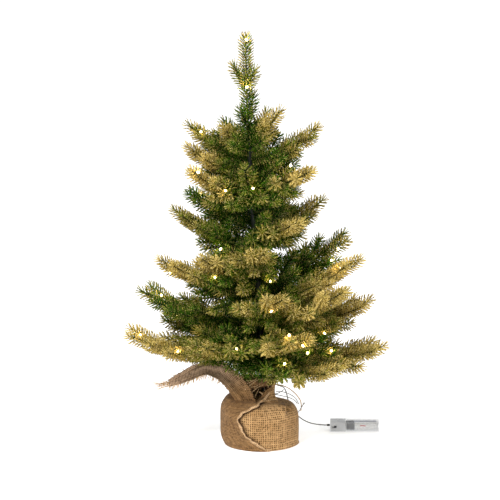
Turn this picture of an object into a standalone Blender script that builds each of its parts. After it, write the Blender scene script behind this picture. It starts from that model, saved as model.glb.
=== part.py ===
"""Artificial tabletop tree: a leaning taped pole with bendable needle branches, standing in a
cement weight wrapped in burlap, with a battery box on the lead of its light string.

World frame: metres, +Z up, origin at the centre of the weight's underside, -Y is the front.
Sizes below are in millimetres and become metres through MM.
"""

import math

import bmesh
import bpy
from mathutils import Matrix, Vector

MM = 0.001
TREE_NAME = "tabletop_tree"
CUTTER_COLLECTION = "tree_cutters"
GAP = 0.3

# Pole, the tape sleeve on it, and its socket in the weight
POLE_RADIUS = 2.5
POLE_FOOT_Z = 9.0
POLE_TOP_Z = 438.0
POLE_X_AT_FLOOR = 9.7
POLE_LEAN_DEG = 3.4
SLEEVE_RADIUS = 4.0
SLEEVE_BORE_CLEARANCE = 0.3
SLEEVE_BOTTOM_Z = 84.0
SLEEVE_TOP_Z = POLE_TOP_Z - 4.0
SOCKET_WALL = 1.6
SOCKET_TOP_Z = 56.0

# Weight and tub inside the bag
BAG_RADIUS = 54.5
BAG_WALL = 1.6
TUB_WALL = 1.3
TUB_HEIGHT = 42.0
TUB_CLEARANCE = 1.2
TUB_BASE_TAPER = 7.5
TUB_TAPER_HEIGHT = 13.0
TUB_FOOT_BEND = (1.5, 5.0)
CEMENT_RADIAL_CLEARANCE = 0.3
CEMENT_TOP_BELOW_RIM = 2.0

# Gathered neck, ruffle and tie
BAG_SHOULDER_Z = 54.0
NECK_RADIUS = 27.5
NECK_BOTTOM_Z = 70.0
NECK_TOP_Z = 79.0
NECK_SHIFT_X = -9.0
RUFFLE_TOP_Z = 100.0
RUFFLE_FLARE = 6.0
RUFFLE_PLEATS = 7
RUFFLE_PLEAT_DEPTH = 2.4
TIE_RADIUS = 1.2
TIE_BELOW_NECK_TOP = 3.0

# Burlap tail pulled out to the left
TAIL_WALL = 1.5
TAIL_ROUTE = [(-41.0, -24.0, 84.5), (-48.0, -23.5, 96.0), (-60.0, -21.5, 105.0),
              (-76.0, -20.0, 108.5), (-94.0, -19.0, 103.5), (-112.0, -18.0, 95.5),
              (-129.0, -18.0, 90.0)]
TAIL_ROOT_WIDTH = 34.0
TAIL_TIP_WIDTH = 9.0
TAIL_TILT_DEG = 38.0
TAIL_RIPPLE = 1.2

# Branches: root height, azimuth, reach from the pole's axis, tip height, side shoots.
# The heights are those on a pole of DRAWN_POLE_TOP_Z; on another pole the roots move in proportion.
ROOT_RADIUS = 1.4
STEM_RADIUS = 2.6
STEM_TIP_RADIUS = 1.7
SHOOT_RADIUS = 1.9
SHOOT_TIP_RADIUS = 1.3
ROOT_CLEARANCE = 1.2
STEM_SIDES = 6
SHOOT_SIDES = 5
STEM_SAG = 0.05
FIRST_SIDE_SHOOT = 0.26
LAST_SIDE_SHOOT = 0.66
SIDE_SHOOT_TURN_DEG = 40.0
SIDE_SHOOT_LENGTH = 0.62
SIDE_SHOOT_SHRINK = 0.42
SIDE_SHOOT_LIFT = 0.10
SIDE_SHOOT_BEND = 0.08
DRAWN_POLE_TOP_Z = 438.0
BRANCHES = [
    (427, 200, 46, 467, 2), (430, 340, 50, 490, 1), (405, 166, 96, 460, 3),
    (392, 8, 101, 459, 3), (378, 191, 98, 437, 3), (366, 318, 117, 414, 3),
    (372, 88, 84, 425, 3), (346, 210, 106, 411, 3), (316, 152, 108, 358, 4),
    (290, 10, 103, 353, 4), (276, 184, 122, 344, 4), (262, 266, 108, 300, 4),
    (304, 60, 98, 346, 4), (240, 226, 120, 290, 4), (212, 30, 146, 292, 5),
    (216, 199, 154, 280, 4), (196, 342, 156, 281, 5), (182, 275, 128, 240, 4),
    (206, 103, 128, 258, 5), (162, 174, 177, 219, 5), (168, 321, 157, 246, 5),
    (148, 4, 161, 209, 5), (138, 236, 150, 168, 5), (142, 288, 146, 181, 4),
    (144, 151, 160, 174, 5), (119, 189, 198, 164, 5), (112, 355, 179, 146, 5),
    (119, 309, 150, 127, 4), (122, 104, 146, 152, 5), (130, 52, 156, 166, 5),
    (428, 52, 44, 478, 1), (348, 258, 60, 416, 2), (302, 302, 104, 337, 4),
]

# Leader: stem and the side shoots on it, measured from the top of the pole's axis
LEADER_STEM = [(-0.1, 0.0, 1.0), (-2.3, 0.0, 42.0), (-3.5, 0.0, 76.0), (-4.5, 0.0, 118.0),
               (-4.7, 0.0, 156.0)]
LEADER_SHOOTS = [
    [(-3.3, 0.0, 74.0), (-13.7, 4.0, 92.0), (-25.7, 7.0, 114.0)],
    [(-3.5, 0.0, 76.0), (4.3, -4.0, 92.0), (10.3, -7.0, 110.0)],
    [(-1.1, 0.0, 18.0), (-8.7, -6.0, 36.0), (-14.7, -9.0, 54.0)],
    [(-1.7, 0.0, 30.0), (4.3, 10.0, 50.0), (6.3, 15.0, 70.0)],
]

# Light string up the pole
STRING_RADIUS = 0.6
STRING_AZIMUTH_DEG = 131.0
STRING_BOTTOM_Z = 86.0
STRING_TOP_Z = POLE_TOP_Z - 10.0
STRING_POINTS = 18

# Battery box: its inside follows the two cells
CELL_RADIUS = 5.25
CELL_LENGTH = 44.5
CELL_NIPPLE_RADIUS = 1.9
CELL_NIPPLE = 0.9
CELL_SIDE_GAP = 0.4
CONTACT_ROOM = 3.2
CONTACT_PLATE = 0.4
BOX_WALL = 1.4
BOX_FLOOR = 1.2
COVER_THICKNESS = 1.2
SWITCH_BAY = 19.0
BOX_LENGTH = SWITCH_BAY + BOX_WALL + CELL_LENGTH + CONTACT_ROOM + BOX_WALL
BOX_WIDTH = 2 * BOX_WALL + 4 * CELL_RADIUS + 3 * CELL_SIDE_GAP
BOX_HEIGHT = BOX_FLOOR + GAP + 2 * CELL_RADIUS + GAP + COVER_THICKNESS
COVER_FLANGE = 0.8
COVER_FLANGE_DEPTH = 1.3
GRIP_RIBS = 4
GRIP_RIB_PITCH = 2.4
GRIP_RIB_WIDTH = 1.2
GRIP_RIB_DEPTH = 0.5
SPRING_WIRE_RADIUS = 0.3
SPRING_TURNS = 2.5
SPRING_RADII = (1.5, 4.1)
SLOT_LENGTH = 6.6
SLOT_HEIGHT = 3.2
SLOT_CENTRE_Z = 7.1
KNOB_LENGTH = 3.0
KNOB_HEIGHT = 2.4
KNOB_STANDS_OUT = 0.9
SLIDER_TRAVEL = 3.0
SCREW_RADIUS = 1.5
SCREW_INSET = (11.0, 6.0)
SCREW_LENGTH = 4.1

# Lead from the neck to the battery box, and the loose jute strand beside the neck.
# The routes are drawn round a bag of DRAWN_BAG_RADIUS; round another bag they move out with it.
DRAWN_BAG_RADIUS = 54.5
LEAD_RADIUS = 0.85
LEAD_ROUTE = [(20.0, 4.0, 84.0), (23.3, 7.4, 82.0), (27.5, 13.5, 79.0), (31.5, 22.5, 75.5),
              (34.5, 32.5, 70.0), (37.0, 42.0, 61.5), (39.0, 50.0, 50.5), (42.0, 56.5, 40.0),
              (47.0, 62.0, 30.5), (54.0, 66.5, 22.0), (62.5, 70.0, 15.0), (72.0, 72.8, 10.4),
              (82.0, 74.5, 8.1), (90.0, 75.0, 7.3), (94.0, 75.0, 7.2)]
GROMMET_RADIUS = 2.4
GROMMET_LENGTH = 4.2
GROMMET_TO_BOX = 5.0
LEAD_FROM_BOX_FRONT = 11.0
STRAND_RADIUS = 0.7
STRAND_ROUTE = [(21.0, -6.0, 86.0), (28.0, -10.0, 86.0), (36.0, -12.5, 84.0), (44.0, -13.0, 79.0),
                (51.0, -12.0, 72.0), (56.5, -9.5, 63.0), (57.6, -6.5, 54.0), (57.0, -4.0, 47.0)]

JUTE = ("jute", (0.48, 0.30, 0.14), 0.95, 0.0)
NEEDLES = ("needles", (0.10, 0.17, 0.03), 0.6, 0.0)
FROSTED_NEEDLES = ("frosted_needles", (0.36, 0.26, 0.07), 0.45, 0.2)
PAINTED_STEEL = ("painted_steel", (0.02, 0.025, 0.02), 0.5, 0.3)
TAPE = ("tape", (0.015, 0.03, 0.012), 0.7, 0.0)
CEMENT = ("cement", (0.45, 0.44, 0.42), 0.95, 0.0)
GREY_PLASTIC = ("grey_plastic", (0.35, 0.35, 0.34), 0.6, 0.0)
CLEAR_PLASTIC = ("clear_plastic", (0.82, 0.84, 0.84), 0.12, 0.0)
BLACK_PLASTIC = ("black_plastic", (0.015, 0.015, 0.016), 0.4, 0.0)
PLATED_STEEL = ("plated_steel", (0.62, 0.62, 0.60), 0.3, 1.0)
CELL_WRAP = ("cell_wrap", (0.55, 0.56, 0.57), 0.35, 0.3)
BOARD = ("board", (0.03, 0.13, 0.06), 0.5, 0.0)
WIRE_COVER = ("wire_cover", (0.42, 0.41, 0.38), 0.5, 0.0)
STRING_COVER = ("string_cover", (0.03, 0.09, 0.03), 0.5, 0.0)


# Scene, materials and basic solids

def clear_scene():
    for obj in list(bpy.data.objects):
        bpy.data.objects.remove(obj, do_unlink=True)


def collection(name):
    made = bpy.data.collections.new(name)
    bpy.context.scene.collection.children.link(made)
    return made


def material(node, look):
    """A material of the node's own, from a (name, colour, roughness, metallic) finish."""
    finish, colour, roughness, metallic = look
    made = bpy.data.materials.new(f"{node}_{finish}")
    made.use_nodes = True
    shader = made.node_tree.nodes["Principled BSDF"]
    shader.inputs["Base Color"].default_value = (*colour, 1.0)
    shader.inputs["Roughness"].default_value = roughness
    shader.inputs["Metallic"].default_value = metallic
    return made


def add_object(name, data, look):
    """Puts mesh or curve data in the scene as a part, or as a cutter when it has no look."""
    obj = bpy.data.objects.new(name, data)
    if look is None:
        CUTTERS.objects.link(obj)
        obj.hide_render = True
        obj.display_type = "WIRE"
    else:
        PARTS.objects.link(obj)
        data.materials.append(material(name, look))
    return obj


def mesh_from(bm, name):
    mesh = bpy.data.meshes.new(name)
    bm.to_mesh(mesh)
    bm.free()
    return mesh


def in_metres(point):
    return Vector(point) * MM


def box(name, low, high, look=None):
    """A block between two corners, in millimetres."""
    bm = bmesh.new()
    size = Vector(high) - Vector(low)
    centre = (Vector(high) + Vector(low)) / 2
    place = Matrix.Translation(centre * MM) @ Matrix.Diagonal((*(size * MM), 1.0))
    bmesh.ops.create_cube(bm, size=1.0, matrix=place)
    return add_object(name, mesh_from(bm, name), look)


def cylinder(name, start, end, radius, sides, look=None):
    """A capped cylinder from start to end, in millimetres."""
    bm = bmesh.new()
    axis = Vector(end) - Vector(start)
    turn = Vector((0, 0, 1)).rotation_difference(axis).to_matrix().to_4x4()
    place = Matrix.Translation((Vector(start) + Vector(end)) / 2 * MM) @ turn
    bmesh.ops.create_cone(bm, cap_ends=True, segments=sides, radius1=radius * MM,
                          radius2=radius * MM, depth=axis.length * MM, matrix=place)
    mesh = mesh_from(bm, name)
    smooth_round(mesh)
    return add_object(name, mesh, look)


def smooth_round(mesh):
    mesh.shade_smooth()
    mesh.set_sharp_from_angle(angle=math.radians(40))


def turned(name, profile, segments, look):
    """A solid of revolution about Z from (radius, height) points, top to bottom on the outside."""
    bm = bmesh.new()
    corners = [bm.verts.new((radius * MM, 0, height * MM)) for radius, height in profile]
    for first, second in zip(corners, corners[1:]):
        bm.edges.new((first, second))
    obj = add_object(name, mesh_from(bm, name), look)
    screw = obj.modifiers.new("turn", "SCREW")
    screw.steps = segments
    screw.render_steps = segments
    screw.use_merge_vertices = True
    screw.merge_threshold = 0.00001
    return obj


def modify_boolean(obj, other, operation):
    change = obj.modifiers.new(f"{operation.lower()}_{other.name}", "BOOLEAN")
    change.operation = operation
    change.object = other
    change.solver = "EXACT"


def cut(obj, cutter):
    modify_boolean(obj, cutter, "DIFFERENCE")


def join(obj, addition):
    modify_boolean(obj, addition, "UNION")


def smooth_route(points, spacing):
    """Points every spacing millimetres or so on a Catmull-Rom curve through the route."""
    route = [Vector(p) for p in points]
    ends = [route[0] * 2 - route[1]] + route + [route[-1] * 2 - route[-2]]
    made = []
    for a, b, c, d in zip(ends, ends[1:], ends[2:], ends[3:]):
        steps = max(1, round((c - b).length / spacing))
        for step in range(steps):
            t = step / steps
            made.append(0.5 * (2 * b + (c - a) * t + (2 * a - 5 * b + 4 * c - d) * t ** 2
                               + (3 * b - a - 3 * c + d) * t ** 3))
    made.append(route[-1])
    return made


def tube(name, points, radius, look, spacing=None):
    """A wire or cord: a poly curve with a bevel and filled caps."""
    route = smooth_route(points, spacing) if spacing else [Vector(p) for p in points]
    curve = bpy.data.curves.new(name, "CURVE")
    curve.dimensions = "3D"
    curve.bevel_depth = radius * MM
    curve.bevel_resolution = 2
    curve.use_fill_caps = True
    spline = curve.splines.new("POLY")
    spline.points.add(len(route) - 1)
    for point, place in zip(spline.points, route):
        point.co = (*in_metres(place), 1.0)
    return add_object(name, curve, look)


def tapered_stem(bm, points, radii, sides):
    """Adds a closed round stem along points to bm, with its own radius at each point."""
    frame_up = Vector((0, 0, 1))
    rings = []
    for index, (point, radius) in enumerate(zip(points, radii)):
        ahead = points[min(index + 1, len(points) - 1)] - points[max(index - 1, 0)]
        across = ahead.cross(frame_up)
        if across.length < 0.2 * ahead.length:
            across = ahead.cross(Vector((0, 1, 0)))
        across.normalize()
        upright = across.cross(ahead).normalized()
        ring = []
        for side in range(sides):
            angle = math.tau * side / sides
            offset = across * math.cos(angle) + upright * math.sin(angle)
            ring.append(bm.verts.new((point + offset * radius) * MM))
        rings.append(ring)
    for lower, upper in zip(rings, rings[1:]):
        for side in range(sides):
            following = (side + 1) % sides
            bm.faces.new((lower[side], lower[following], upper[following], upper[side]))
    bm.faces.new(rings[0][::-1])
    bm.faces.new(rings[-1])


def pointing_out(bm):
    bmesh.ops.recalc_face_normals(bm, faces=bm.faces)


# The pole and its foot

def pole_at(height):
    """The point of the leaning pole's axis at a height."""
    lean = math.tan(math.radians(POLE_LEAN_DEG))
    return Vector((POLE_X_AT_FLOOR - lean * height, 0.0, height))


def make_pole():
    cylinder("trunk_pole", pole_at(POLE_FOOT_Z), pole_at(POLE_TOP_Z), POLE_RADIUS, 16,
             PAINTED_STEEL)


def make_sleeve():
    sleeve = cylinder("trunk_sleeve", pole_at(SLEEVE_BOTTOM_Z), pole_at(SLEEVE_TOP_Z),
                      SLEEVE_RADIUS, 16, TAPE)
    bore = cylinder("sleeve_bore", pole_at(SLEEVE_BOTTOM_Z - 5), pole_at(SLEEVE_TOP_Z + 5),
                    POLE_RADIUS + SLEEVE_BORE_CLEARANCE, 16)
    cut(sleeve, bore)


def tub_radius():
    return BAG_RADIUS - BAG_WALL - TUB_CLEARANCE


def tub_floor():
    return BAG_WALL + GAP


def make_tub():
    outer = tub_radius()
    inner = outer - TUB_WALL
    low = tub_floor()
    rim = low + TUB_HEIGHT
    bend_in, bend_up = TUB_FOOT_BEND
    inside = [(0.0, low + TUB_WALL), (inner - TUB_BASE_TAPER, low + TUB_WALL),
              (inner, low + TUB_WALL + TUB_TAPER_HEIGHT), (inner, rim)]
    outside = [(outer, rim), (outer, low + TUB_TAPER_HEIGHT), (outer - bend_in, low + bend_up),
               (outer - TUB_BASE_TAPER, low), (0.0, low)]
    turned("weight_tub", inside + outside, 40, GREY_PLASTIC)


def make_cement():
    radius = tub_radius() - TUB_WALL - CEMENT_RADIAL_CLEARANCE
    low = tub_floor() + TUB_WALL + GAP
    high = tub_floor() + TUB_HEIGHT - CEMENT_TOP_BELOW_RIM
    profile = [(0.0, high), (radius, high), (radius, low + TUB_TAPER_HEIGHT),
               (radius - TUB_BASE_TAPER, low), (0.0, low)]
    cement = turned("cement_weight", profile, 40, CEMENT)
    cut(cement, cylinder("cement_hole", pole_at(POLE_FOOT_Z - SOCKET_WALL - 1.0),
                         pole_at(SOCKET_TOP_Z + 9), socket_radius() + GAP, 24))


def socket_radius():
    return POLE_RADIUS + GAP + SOCKET_WALL


def make_socket():
    socket = cylinder("trunk_socket", pole_at(POLE_FOOT_Z - SOCKET_WALL - GAP), pole_at(SOCKET_TOP_Z),
                      socket_radius(), 24, GREY_PLASTIC)
    bore = cylinder("socket_bore", pole_at(POLE_FOOT_Z - GAP), pole_at(SOCKET_TOP_Z + 5),
                    POLE_RADIUS + GAP, 24)
    cut(socket, bore)


# Burlap

def ring_shell(rings, segments):
    """A surface lofted through rings, each (centre x, radius at an angle, height)."""
    bm = bmesh.new()
    loops = []
    for centre_x, radius_at, height in rings:
        loop = []
        for step in range(segments):
            angle = math.tau * step / segments
            radius = radius_at(angle)
            place = (centre_x + radius * math.cos(angle), radius * math.sin(angle), height)
            loop.append(bm.verts.new(in_metres(place)))
        loops.append(loop)
    for lower, upper in zip(loops, loops[1:]):
        for step in range(segments):
            following = (step + 1) % segments
            bm.faces.new((lower[step], lower[following], upper[following], upper[step]))
    return bm, loops


def add_wall(obj, wall):
    solid = obj.modifiers.new("cloth_thickness", "SOLIDIFY")
    solid.thickness = wall * MM
    solid.offset = -1.0
    solid.use_even_offset = True


def wave(radius, depth):
    """The radius at an angle of a ring with pleats of that depth."""
    return lambda angle: radius + depth * math.cos(RUFFLE_PLEATS * angle)


def make_bag():
    """The bag's outer surface, from its flat underside up to the gathered neck."""
    shoulder = BAG_SHOULDER_Z
    profile = [(BAG_RADIUS - 7.0, 0.0, 0.0), (BAG_RADIUS - 2.0, 3.0, 0.0), (BAG_RADIUS, 12.0, 0.0),
               (BAG_RADIUS, shoulder - 14.0, 0.0), (BAG_RADIUS - 2.0, shoulder, 0.0),
               (BAG_RADIUS - 9.0, shoulder + 9.0, 0.1), (NECK_RADIUS + 9.0, NECK_BOTTOM_Z - 3.0, 0.5),
               (NECK_RADIUS, NECK_BOTTOM_Z + 2.0, 1.0), (NECK_RADIUS, NECK_TOP_Z, 1.0)]
    rings = [(NECK_SHIFT_X * shift, wave(radius, 0.0), height) for radius, height, shift in profile]
    bm, loops = ring_shell(rings, 40)
    bm.faces.new(loops[0][::-1])
    add_wall(add_object("burlap_bag", mesh_from(bm, "burlap_bag"), JUTE), BAG_WALL)


def make_ruffle():
    """The frayed flare of cloth above the tie, in pleats."""
    low = NECK_TOP_Z + GAP
    rings = []
    for share in (0.0, 0.35, 0.7, 1.0):
        radius = NECK_RADIUS + RUFFLE_FLARE * share ** 1.5
        height = low + (RUFFLE_TOP_Z - low) * share
        rings.append((NECK_SHIFT_X, wave(radius, RUFFLE_PLEAT_DEPTH * share), height))
    bm, loops = ring_shell(rings, 42)
    add_wall(add_object("burlap_ruffle", mesh_from(bm, "burlap_ruffle"), JUTE), BAG_WALL)


def make_tie():
    """A loop of twine round the neck."""
    bm = bmesh.new()
    segments, sides = 40, 8
    major = (NECK_RADIUS + GAP + TIE_RADIUS) * MM
    rings = []
    for step in range(segments):
        angle = math.tau * step / segments
        outward = Vector((math.cos(angle), math.sin(angle), 0))
        centre = outward * major + in_metres((NECK_SHIFT_X, 0, NECK_TOP_Z - TIE_BELOW_NECK_TOP))
        ring = []
        for side in range(sides):
            turn = math.tau * side / sides
            offset = outward * math.cos(turn) + Vector((0, 0, math.sin(turn)))
            ring.append(bm.verts.new(centre + offset * TIE_RADIUS * MM))
        rings.append(ring)
    for index, ring in enumerate(rings):
        ahead = rings[(index + 1) % len(rings)]
        for side in range(sides):
            following = (side + 1) % sides
            bm.faces.new((ring[side], ahead[side], ahead[following], ring[following]))
    pointing_out(bm)
    add_object("neck_tie", mesh_from(bm, "neck_tie"), JUTE)


def make_tail():
    """The burlap's corner: a tilted strip that rises out of the neck, then droops to its tip."""
    spine = smooth_route(TAIL_ROUTE, 7.0)
    across = Matrix.Rotation(math.radians(TAIL_TILT_DEG), 3, "X") @ Vector((0, 1, 0))
    bm = bmesh.new()
    rows = []
    for index, point in enumerate(spine):
        share = index / (len(spine) - 1)
        width = TAIL_ROOT_WIDTH + (TAIL_TIP_WIDTH - TAIL_ROOT_WIDTH) * share
        row = []
        for step in range(5):
            place = step / 4 - 0.5
            ripple = Vector((0, 0, TAIL_RIPPLE * math.cos(9.0 * place + 2.0 * share)))
            row.append(bm.verts.new(in_metres(point + across * width * place + ripple)))
        rows.append(row)
    for row, following in zip(rows, rows[1:]):
        for step in range(4):
            bm.faces.new((row[step], row[step + 1], following[step + 1], following[step]))
    add_wall(add_object("burlap_tail", mesh_from(bm, "burlap_tail"), JUTE), TAIL_WALL)


# Branches and leader

def branch_shoots(branch):
    """The stem's points and each side shoot's points, in millimetres, for a BRANCHES row."""
    root_z, azimuth, reach, tip_z, side_shoots = branch
    foot = pole_at(root_z * POLE_TOP_Z / DRAWN_POLE_TOP_Z)
    outward = Vector((math.cos(math.radians(azimuth)), math.sin(math.radians(azimuth)), 0))
    sideways = Vector((-outward.y, outward.x, 0))
    root = SLEEVE_RADIUS + ROOT_CLEARANCE

    def stem_at(share):
        along = root + (reach - root) * share
        rise = (tip_z - root_z) * share - STEM_SAG * reach * math.sin(math.pi * share)
        return foot + outward * along + Vector((0, 0, rise))

    stem = [stem_at(share) for share in (0.0, 0.08, 0.35, 0.7, 1.0)]
    shoots = []
    for index in range(side_shoots):
        share = FIRST_SIDE_SHOOT
        if side_shoots > 1:
            share += (LAST_SIDE_SHOOT - FIRST_SIDE_SHOOT) * index / (side_shoots - 1)
        side = 1 if index % 2 else -1
        length = reach * (SIDE_SHOOT_LENGTH - SIDE_SHOOT_SHRINK * share)
        start = stem_at(share)
        ahead = (stem_at(share + 0.1) - start).normalized()
        turn = math.radians(SIDE_SHOOT_TURN_DEG)
        heading = ahead * math.cos(turn) + sideways * side * math.sin(turn)
        heading.z += SIDE_SHOOT_LIFT * (-1 if index % 3 == 2 else 1)
        bend = ahead * SIDE_SHOOT_BEND * length
        shoots.append([start, start + heading * length * 0.5, start + heading * length + bend])
    return stem, shoots


def make_branch(name, stem, shoots, stem_radii, look):
    """One sprayed branch: a stem with its side shoots joined on."""
    bm = bmesh.new()
    tapered_stem(bm, stem, stem_radii, STEM_SIDES)
    pointing_out(bm)
    branch = add_object(name, mesh_from(bm, name), look)
    side = bmesh.new()
    for shoot in shoots:
        radii = [SHOOT_RADIUS, SHOOT_RADIUS, SHOOT_TIP_RADIUS]
        tapered_stem(side, shoot, radii, SHOOT_SIDES)
    pointing_out(side)
    joined = add_object(f"{name}_side_shoots", mesh_from(side, f"{name}_side_shoots"), None)
    join(branch, joined)


def make_branches():
    radii = [ROOT_RADIUS, STEM_RADIUS, STEM_RADIUS, STEM_RADIUS, STEM_TIP_RADIUS]
    for number, branch in enumerate(BRANCHES, start=1):
        stem, shoots = branch_shoots(branch)
        look = FROSTED_NEEDLES if number % 3 == 0 else NEEDLES
        make_branch(f"branch_{number:02d}", stem, shoots, radii, look)


def make_leader():
    top = pole_at(POLE_TOP_Z)
    stem = [top + Vector(place) for place in LEADER_STEM]
    shoots = [[top + Vector(place) for place in route] for route in LEADER_SHOOTS]
    radii = [SLEEVE_RADIUS - 0.8, STEM_RADIUS, STEM_RADIUS, STEM_RADIUS, STEM_TIP_RADIUS]
    make_branch("leader_shoot", stem, shoots, radii, FROSTED_NEEDLES)


def make_light_string():
    """The light string's run up the back of the sleeve."""
    azimuth = math.radians(STRING_AZIMUTH_DEG)
    out = Vector((math.cos(azimuth), math.sin(azimuth), 0)) * (SLEEVE_RADIUS + GAP + STRING_RADIUS)
    route = []
    for step in range(STRING_POINTS):
        height = STRING_BOTTOM_Z + (STRING_TOP_Z - STRING_BOTTOM_Z) * step / (STRING_POINTS - 1)
        route.append(pole_at(height) + out)
    tube("light_string", route, STRING_RADIUS, STRING_COVER)


# Lead, strand and the battery box at the lead's end

def beside_bag(route):
    """A cord's route, moved out with the bag it lies on, but held where it leaves the neck."""
    moved = []
    for x, y, z in route:
        reach = math.hypot(x, y)
        share = (reach - NECK_RADIUS) / (DRAWN_BAG_RADIUS - NECK_RADIUS)
        outward = 1.0 + (BAG_RADIUS - DRAWN_BAG_RADIUS) * max(0.0, min(1.0, share)) / reach
        moved.append(Vector((x * outward, y * outward, z)))
    return moved


def lead_end():
    return beside_bag(LEAD_ROUTE)[-1]


def box_left():
    return lead_end().x + GROMMET_TO_BOX


def box_front():
    return lead_end().y - LEAD_FROM_BOX_FRONT


def box_right():
    return box_left() + BOX_LENGTH


def box_back():
    return box_front() + BOX_WIDTH


def cell_bay():
    """The cell bay's low and high X."""
    return box_left() + SWITCH_BAY + BOX_WALL, box_right() - BOX_WALL


def cell_axis(row):
    """(Y, Z) of a cell's axis: row 0 is the front cell and row 1 the rear one."""
    middle = box_front() + BOX_WIDTH / 2
    spacing = 2 * CELL_RADIUS + CELL_SIDE_GAP
    return middle + spacing * (row - 0.5), BOX_FLOOR + GAP + CELL_RADIUS


def make_tray():
    cover_underside = BOX_HEIGHT - COVER_THICKNESS
    tray = box("box_tray", (box_left(), box_front(), 0), (box_right(), box_back(), BOX_HEIGHT),
               CLEAR_PLASTIC)
    low, high = cell_bay()
    inner_front = box_front() + BOX_WALL
    inner_back = box_back() - BOX_WALL
    cut(tray, box("cell_bay_cutter", (low, inner_front, BOX_FLOOR),
                  (high, inner_back, BOX_HEIGHT + 5)))
    cut(tray, box("cover_seat_cutter", (low - BOX_WALL, box_front() - 5, cover_underside - GAP),
                  (box_right() + 5, box_back() + 5, BOX_HEIGHT + 5)))
    cut(tray, box("cover_way_cutter", (high - 1, inner_front, cover_flange_low() - GAP),
                  (box_right() + 5, inner_back, BOX_HEIGHT + 5)))
    cut(tray, box("switch_bay_cutter", (box_left() + BOX_WALL, inner_front, BOX_FLOOR),
                  (low - BOX_WALL, inner_back, cover_underside)))
    slot_low = switch_slot_low()
    cut(tray, box("switch_slot_cutter", (slot_low, box_front() - 5, SLOT_CENTRE_Z - SLOT_HEIGHT / 2),
                  (slot_low + SLOT_LENGTH, inner_front + 1, SLOT_CENTRE_Z + SLOT_HEIGHT / 2)))
    end = lead_end()
    cut(tray, cylinder("lead_hole_cutter", (box_left() - 5, end.y, end.z),
                       (box_left() + BOX_WALL + 2, end.y, end.z), GROMMET_RADIUS, 16))


def cover_flange_low():
    return BOX_HEIGHT - COVER_THICKNESS - COVER_FLANGE_DEPTH


def switch_slot_low():
    return box_left() + BOX_WALL + 1.0


def make_cover():
    low, high = cell_bay()
    under = BOX_HEIGHT - COVER_THICKNESS
    left = low - BOX_WALL + GAP
    cover = box("box_cover", (left, box_front(), under), (box_right(), box_back(), BOX_HEIGHT),
                CLEAR_PLASTIC)
    inner_front = box_front() + BOX_WALL + GAP
    inner_back = box_back() - BOX_WALL - GAP
    for name, front in (("front", inner_front), ("back", inner_back - COVER_FLANGE)):
        join(cover, box(f"cover_flange_{name}", (low + 2, front, cover_flange_low()),
                        (high - 3, front + COVER_FLANGE, under + 0.5)))
    for rib in range(GRIP_RIBS):
        x = box_right() - 6.0 - GRIP_RIB_PITCH * rib
        cut(cover, box(f"grip_groove_{rib}", (x, box_front() + 7, BOX_HEIGHT - GRIP_RIB_DEPTH),
                       (x + GRIP_RIB_WIDTH, box_back() - 7, BOX_HEIGHT + 2)))


def make_screw():
    """The small screw that closes the switch bay from above."""
    x = box_left() + SCREW_INSET[0]
    y = box_back() - SCREW_INSET[1]
    top = BOX_HEIGHT
    cut(bpy.data.objects["box_tray"],
        cylinder("screw_hole_cutter", (x, y, top - COVER_THICKNESS - 2), (x, y, top + 2),
                 SCREW_RADIUS + GAP, 16))
    head = top - 0.1
    screw = cylinder("cover_screw", (x, y, head - SCREW_LENGTH), (x, y, head), SCREW_RADIUS, 16,
                     PLATED_STEEL)
    for name, along in (("slot_x", (1.3, 0.25)), ("slot_y", (0.25, 1.3))):
        cut(screw, box(f"screw_{name}_cutter", (x - along[0], y - along[1], top - 0.8),
                       (x + along[0], y + along[1], top + 1)))


def make_switch():
    slot_low = switch_slot_low()
    knob_high = slot_low + SLOT_LENGTH - GAP
    front = box_front() + BOX_WALL
    half = KNOB_HEIGHT / 2
    slider = box("switch_slider", (knob_high - KNOB_LENGTH, box_front() - KNOB_STANDS_OUT,
                                   SLOT_CENTRE_Z - half),
                 (knob_high, front + 1.0, SLOT_CENTRE_Z + half), BLACK_PLASTIC)
    block_low = slot_low + SLIDER_TRAVEL + GAP
    join(slider, box("slider_block", (block_low, front + GAP, SLOT_CENTRE_Z - 2.4),
                     (block_low + 5.6, front + 2.4, SLOT_CENTRE_Z + 2.4)))
    box("switch_body", (slot_low - 0.5, front + 2.4 + GAP, 3.0),
        (slot_low + 11.0, front + 7.0, 11.4), PLATED_STEEL)
    box("circuit_board", (slot_low - 0.5, front + 7.0 + GAP, 2.4),
        (slot_low + 13.0, front + 8.5, 11.8), BOARD)


def make_cells():
    """Two cells, the front one's button to the right and the rear one's to the left."""
    left, right = cell_span()
    wrap = CELL_RADIUS
    length = CELL_LENGTH
    profile = [(0.0, length), (CELL_NIPPLE_RADIUS, length), (CELL_NIPPLE_RADIUS, length - CELL_NIPPLE),
               (wrap - 0.6, length - CELL_NIPPLE), (wrap, length - CELL_NIPPLE - 0.6), (wrap, 0.5),
               (wrap - 0.5, 0.0), (0.0, 0.0)]
    for name, row, start, heading in (("battery_front", 0, right[0], 90), ("battery_rear", 1, left[1], -90)):
        y, z = cell_axis(row)
        cell = turned(name, profile, 20, CELL_WRAP)
        x = start - length if heading == 90 else start + length
        cell.rotation_euler = (0, math.radians(heading), 0)
        cell.location = in_metres((x, y, z))


def cell_span():
    """Faces the cells press on: (plate, spring end) at the left and (plate, spring end) at the right."""
    low, high = cell_bay()
    left_plate = low + GAP + CONTACT_PLATE
    right_plate = high - GAP - CONTACT_PLATE
    return (left_plate, left_plate + GAP), (right_plate - GAP, right_plate)


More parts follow.
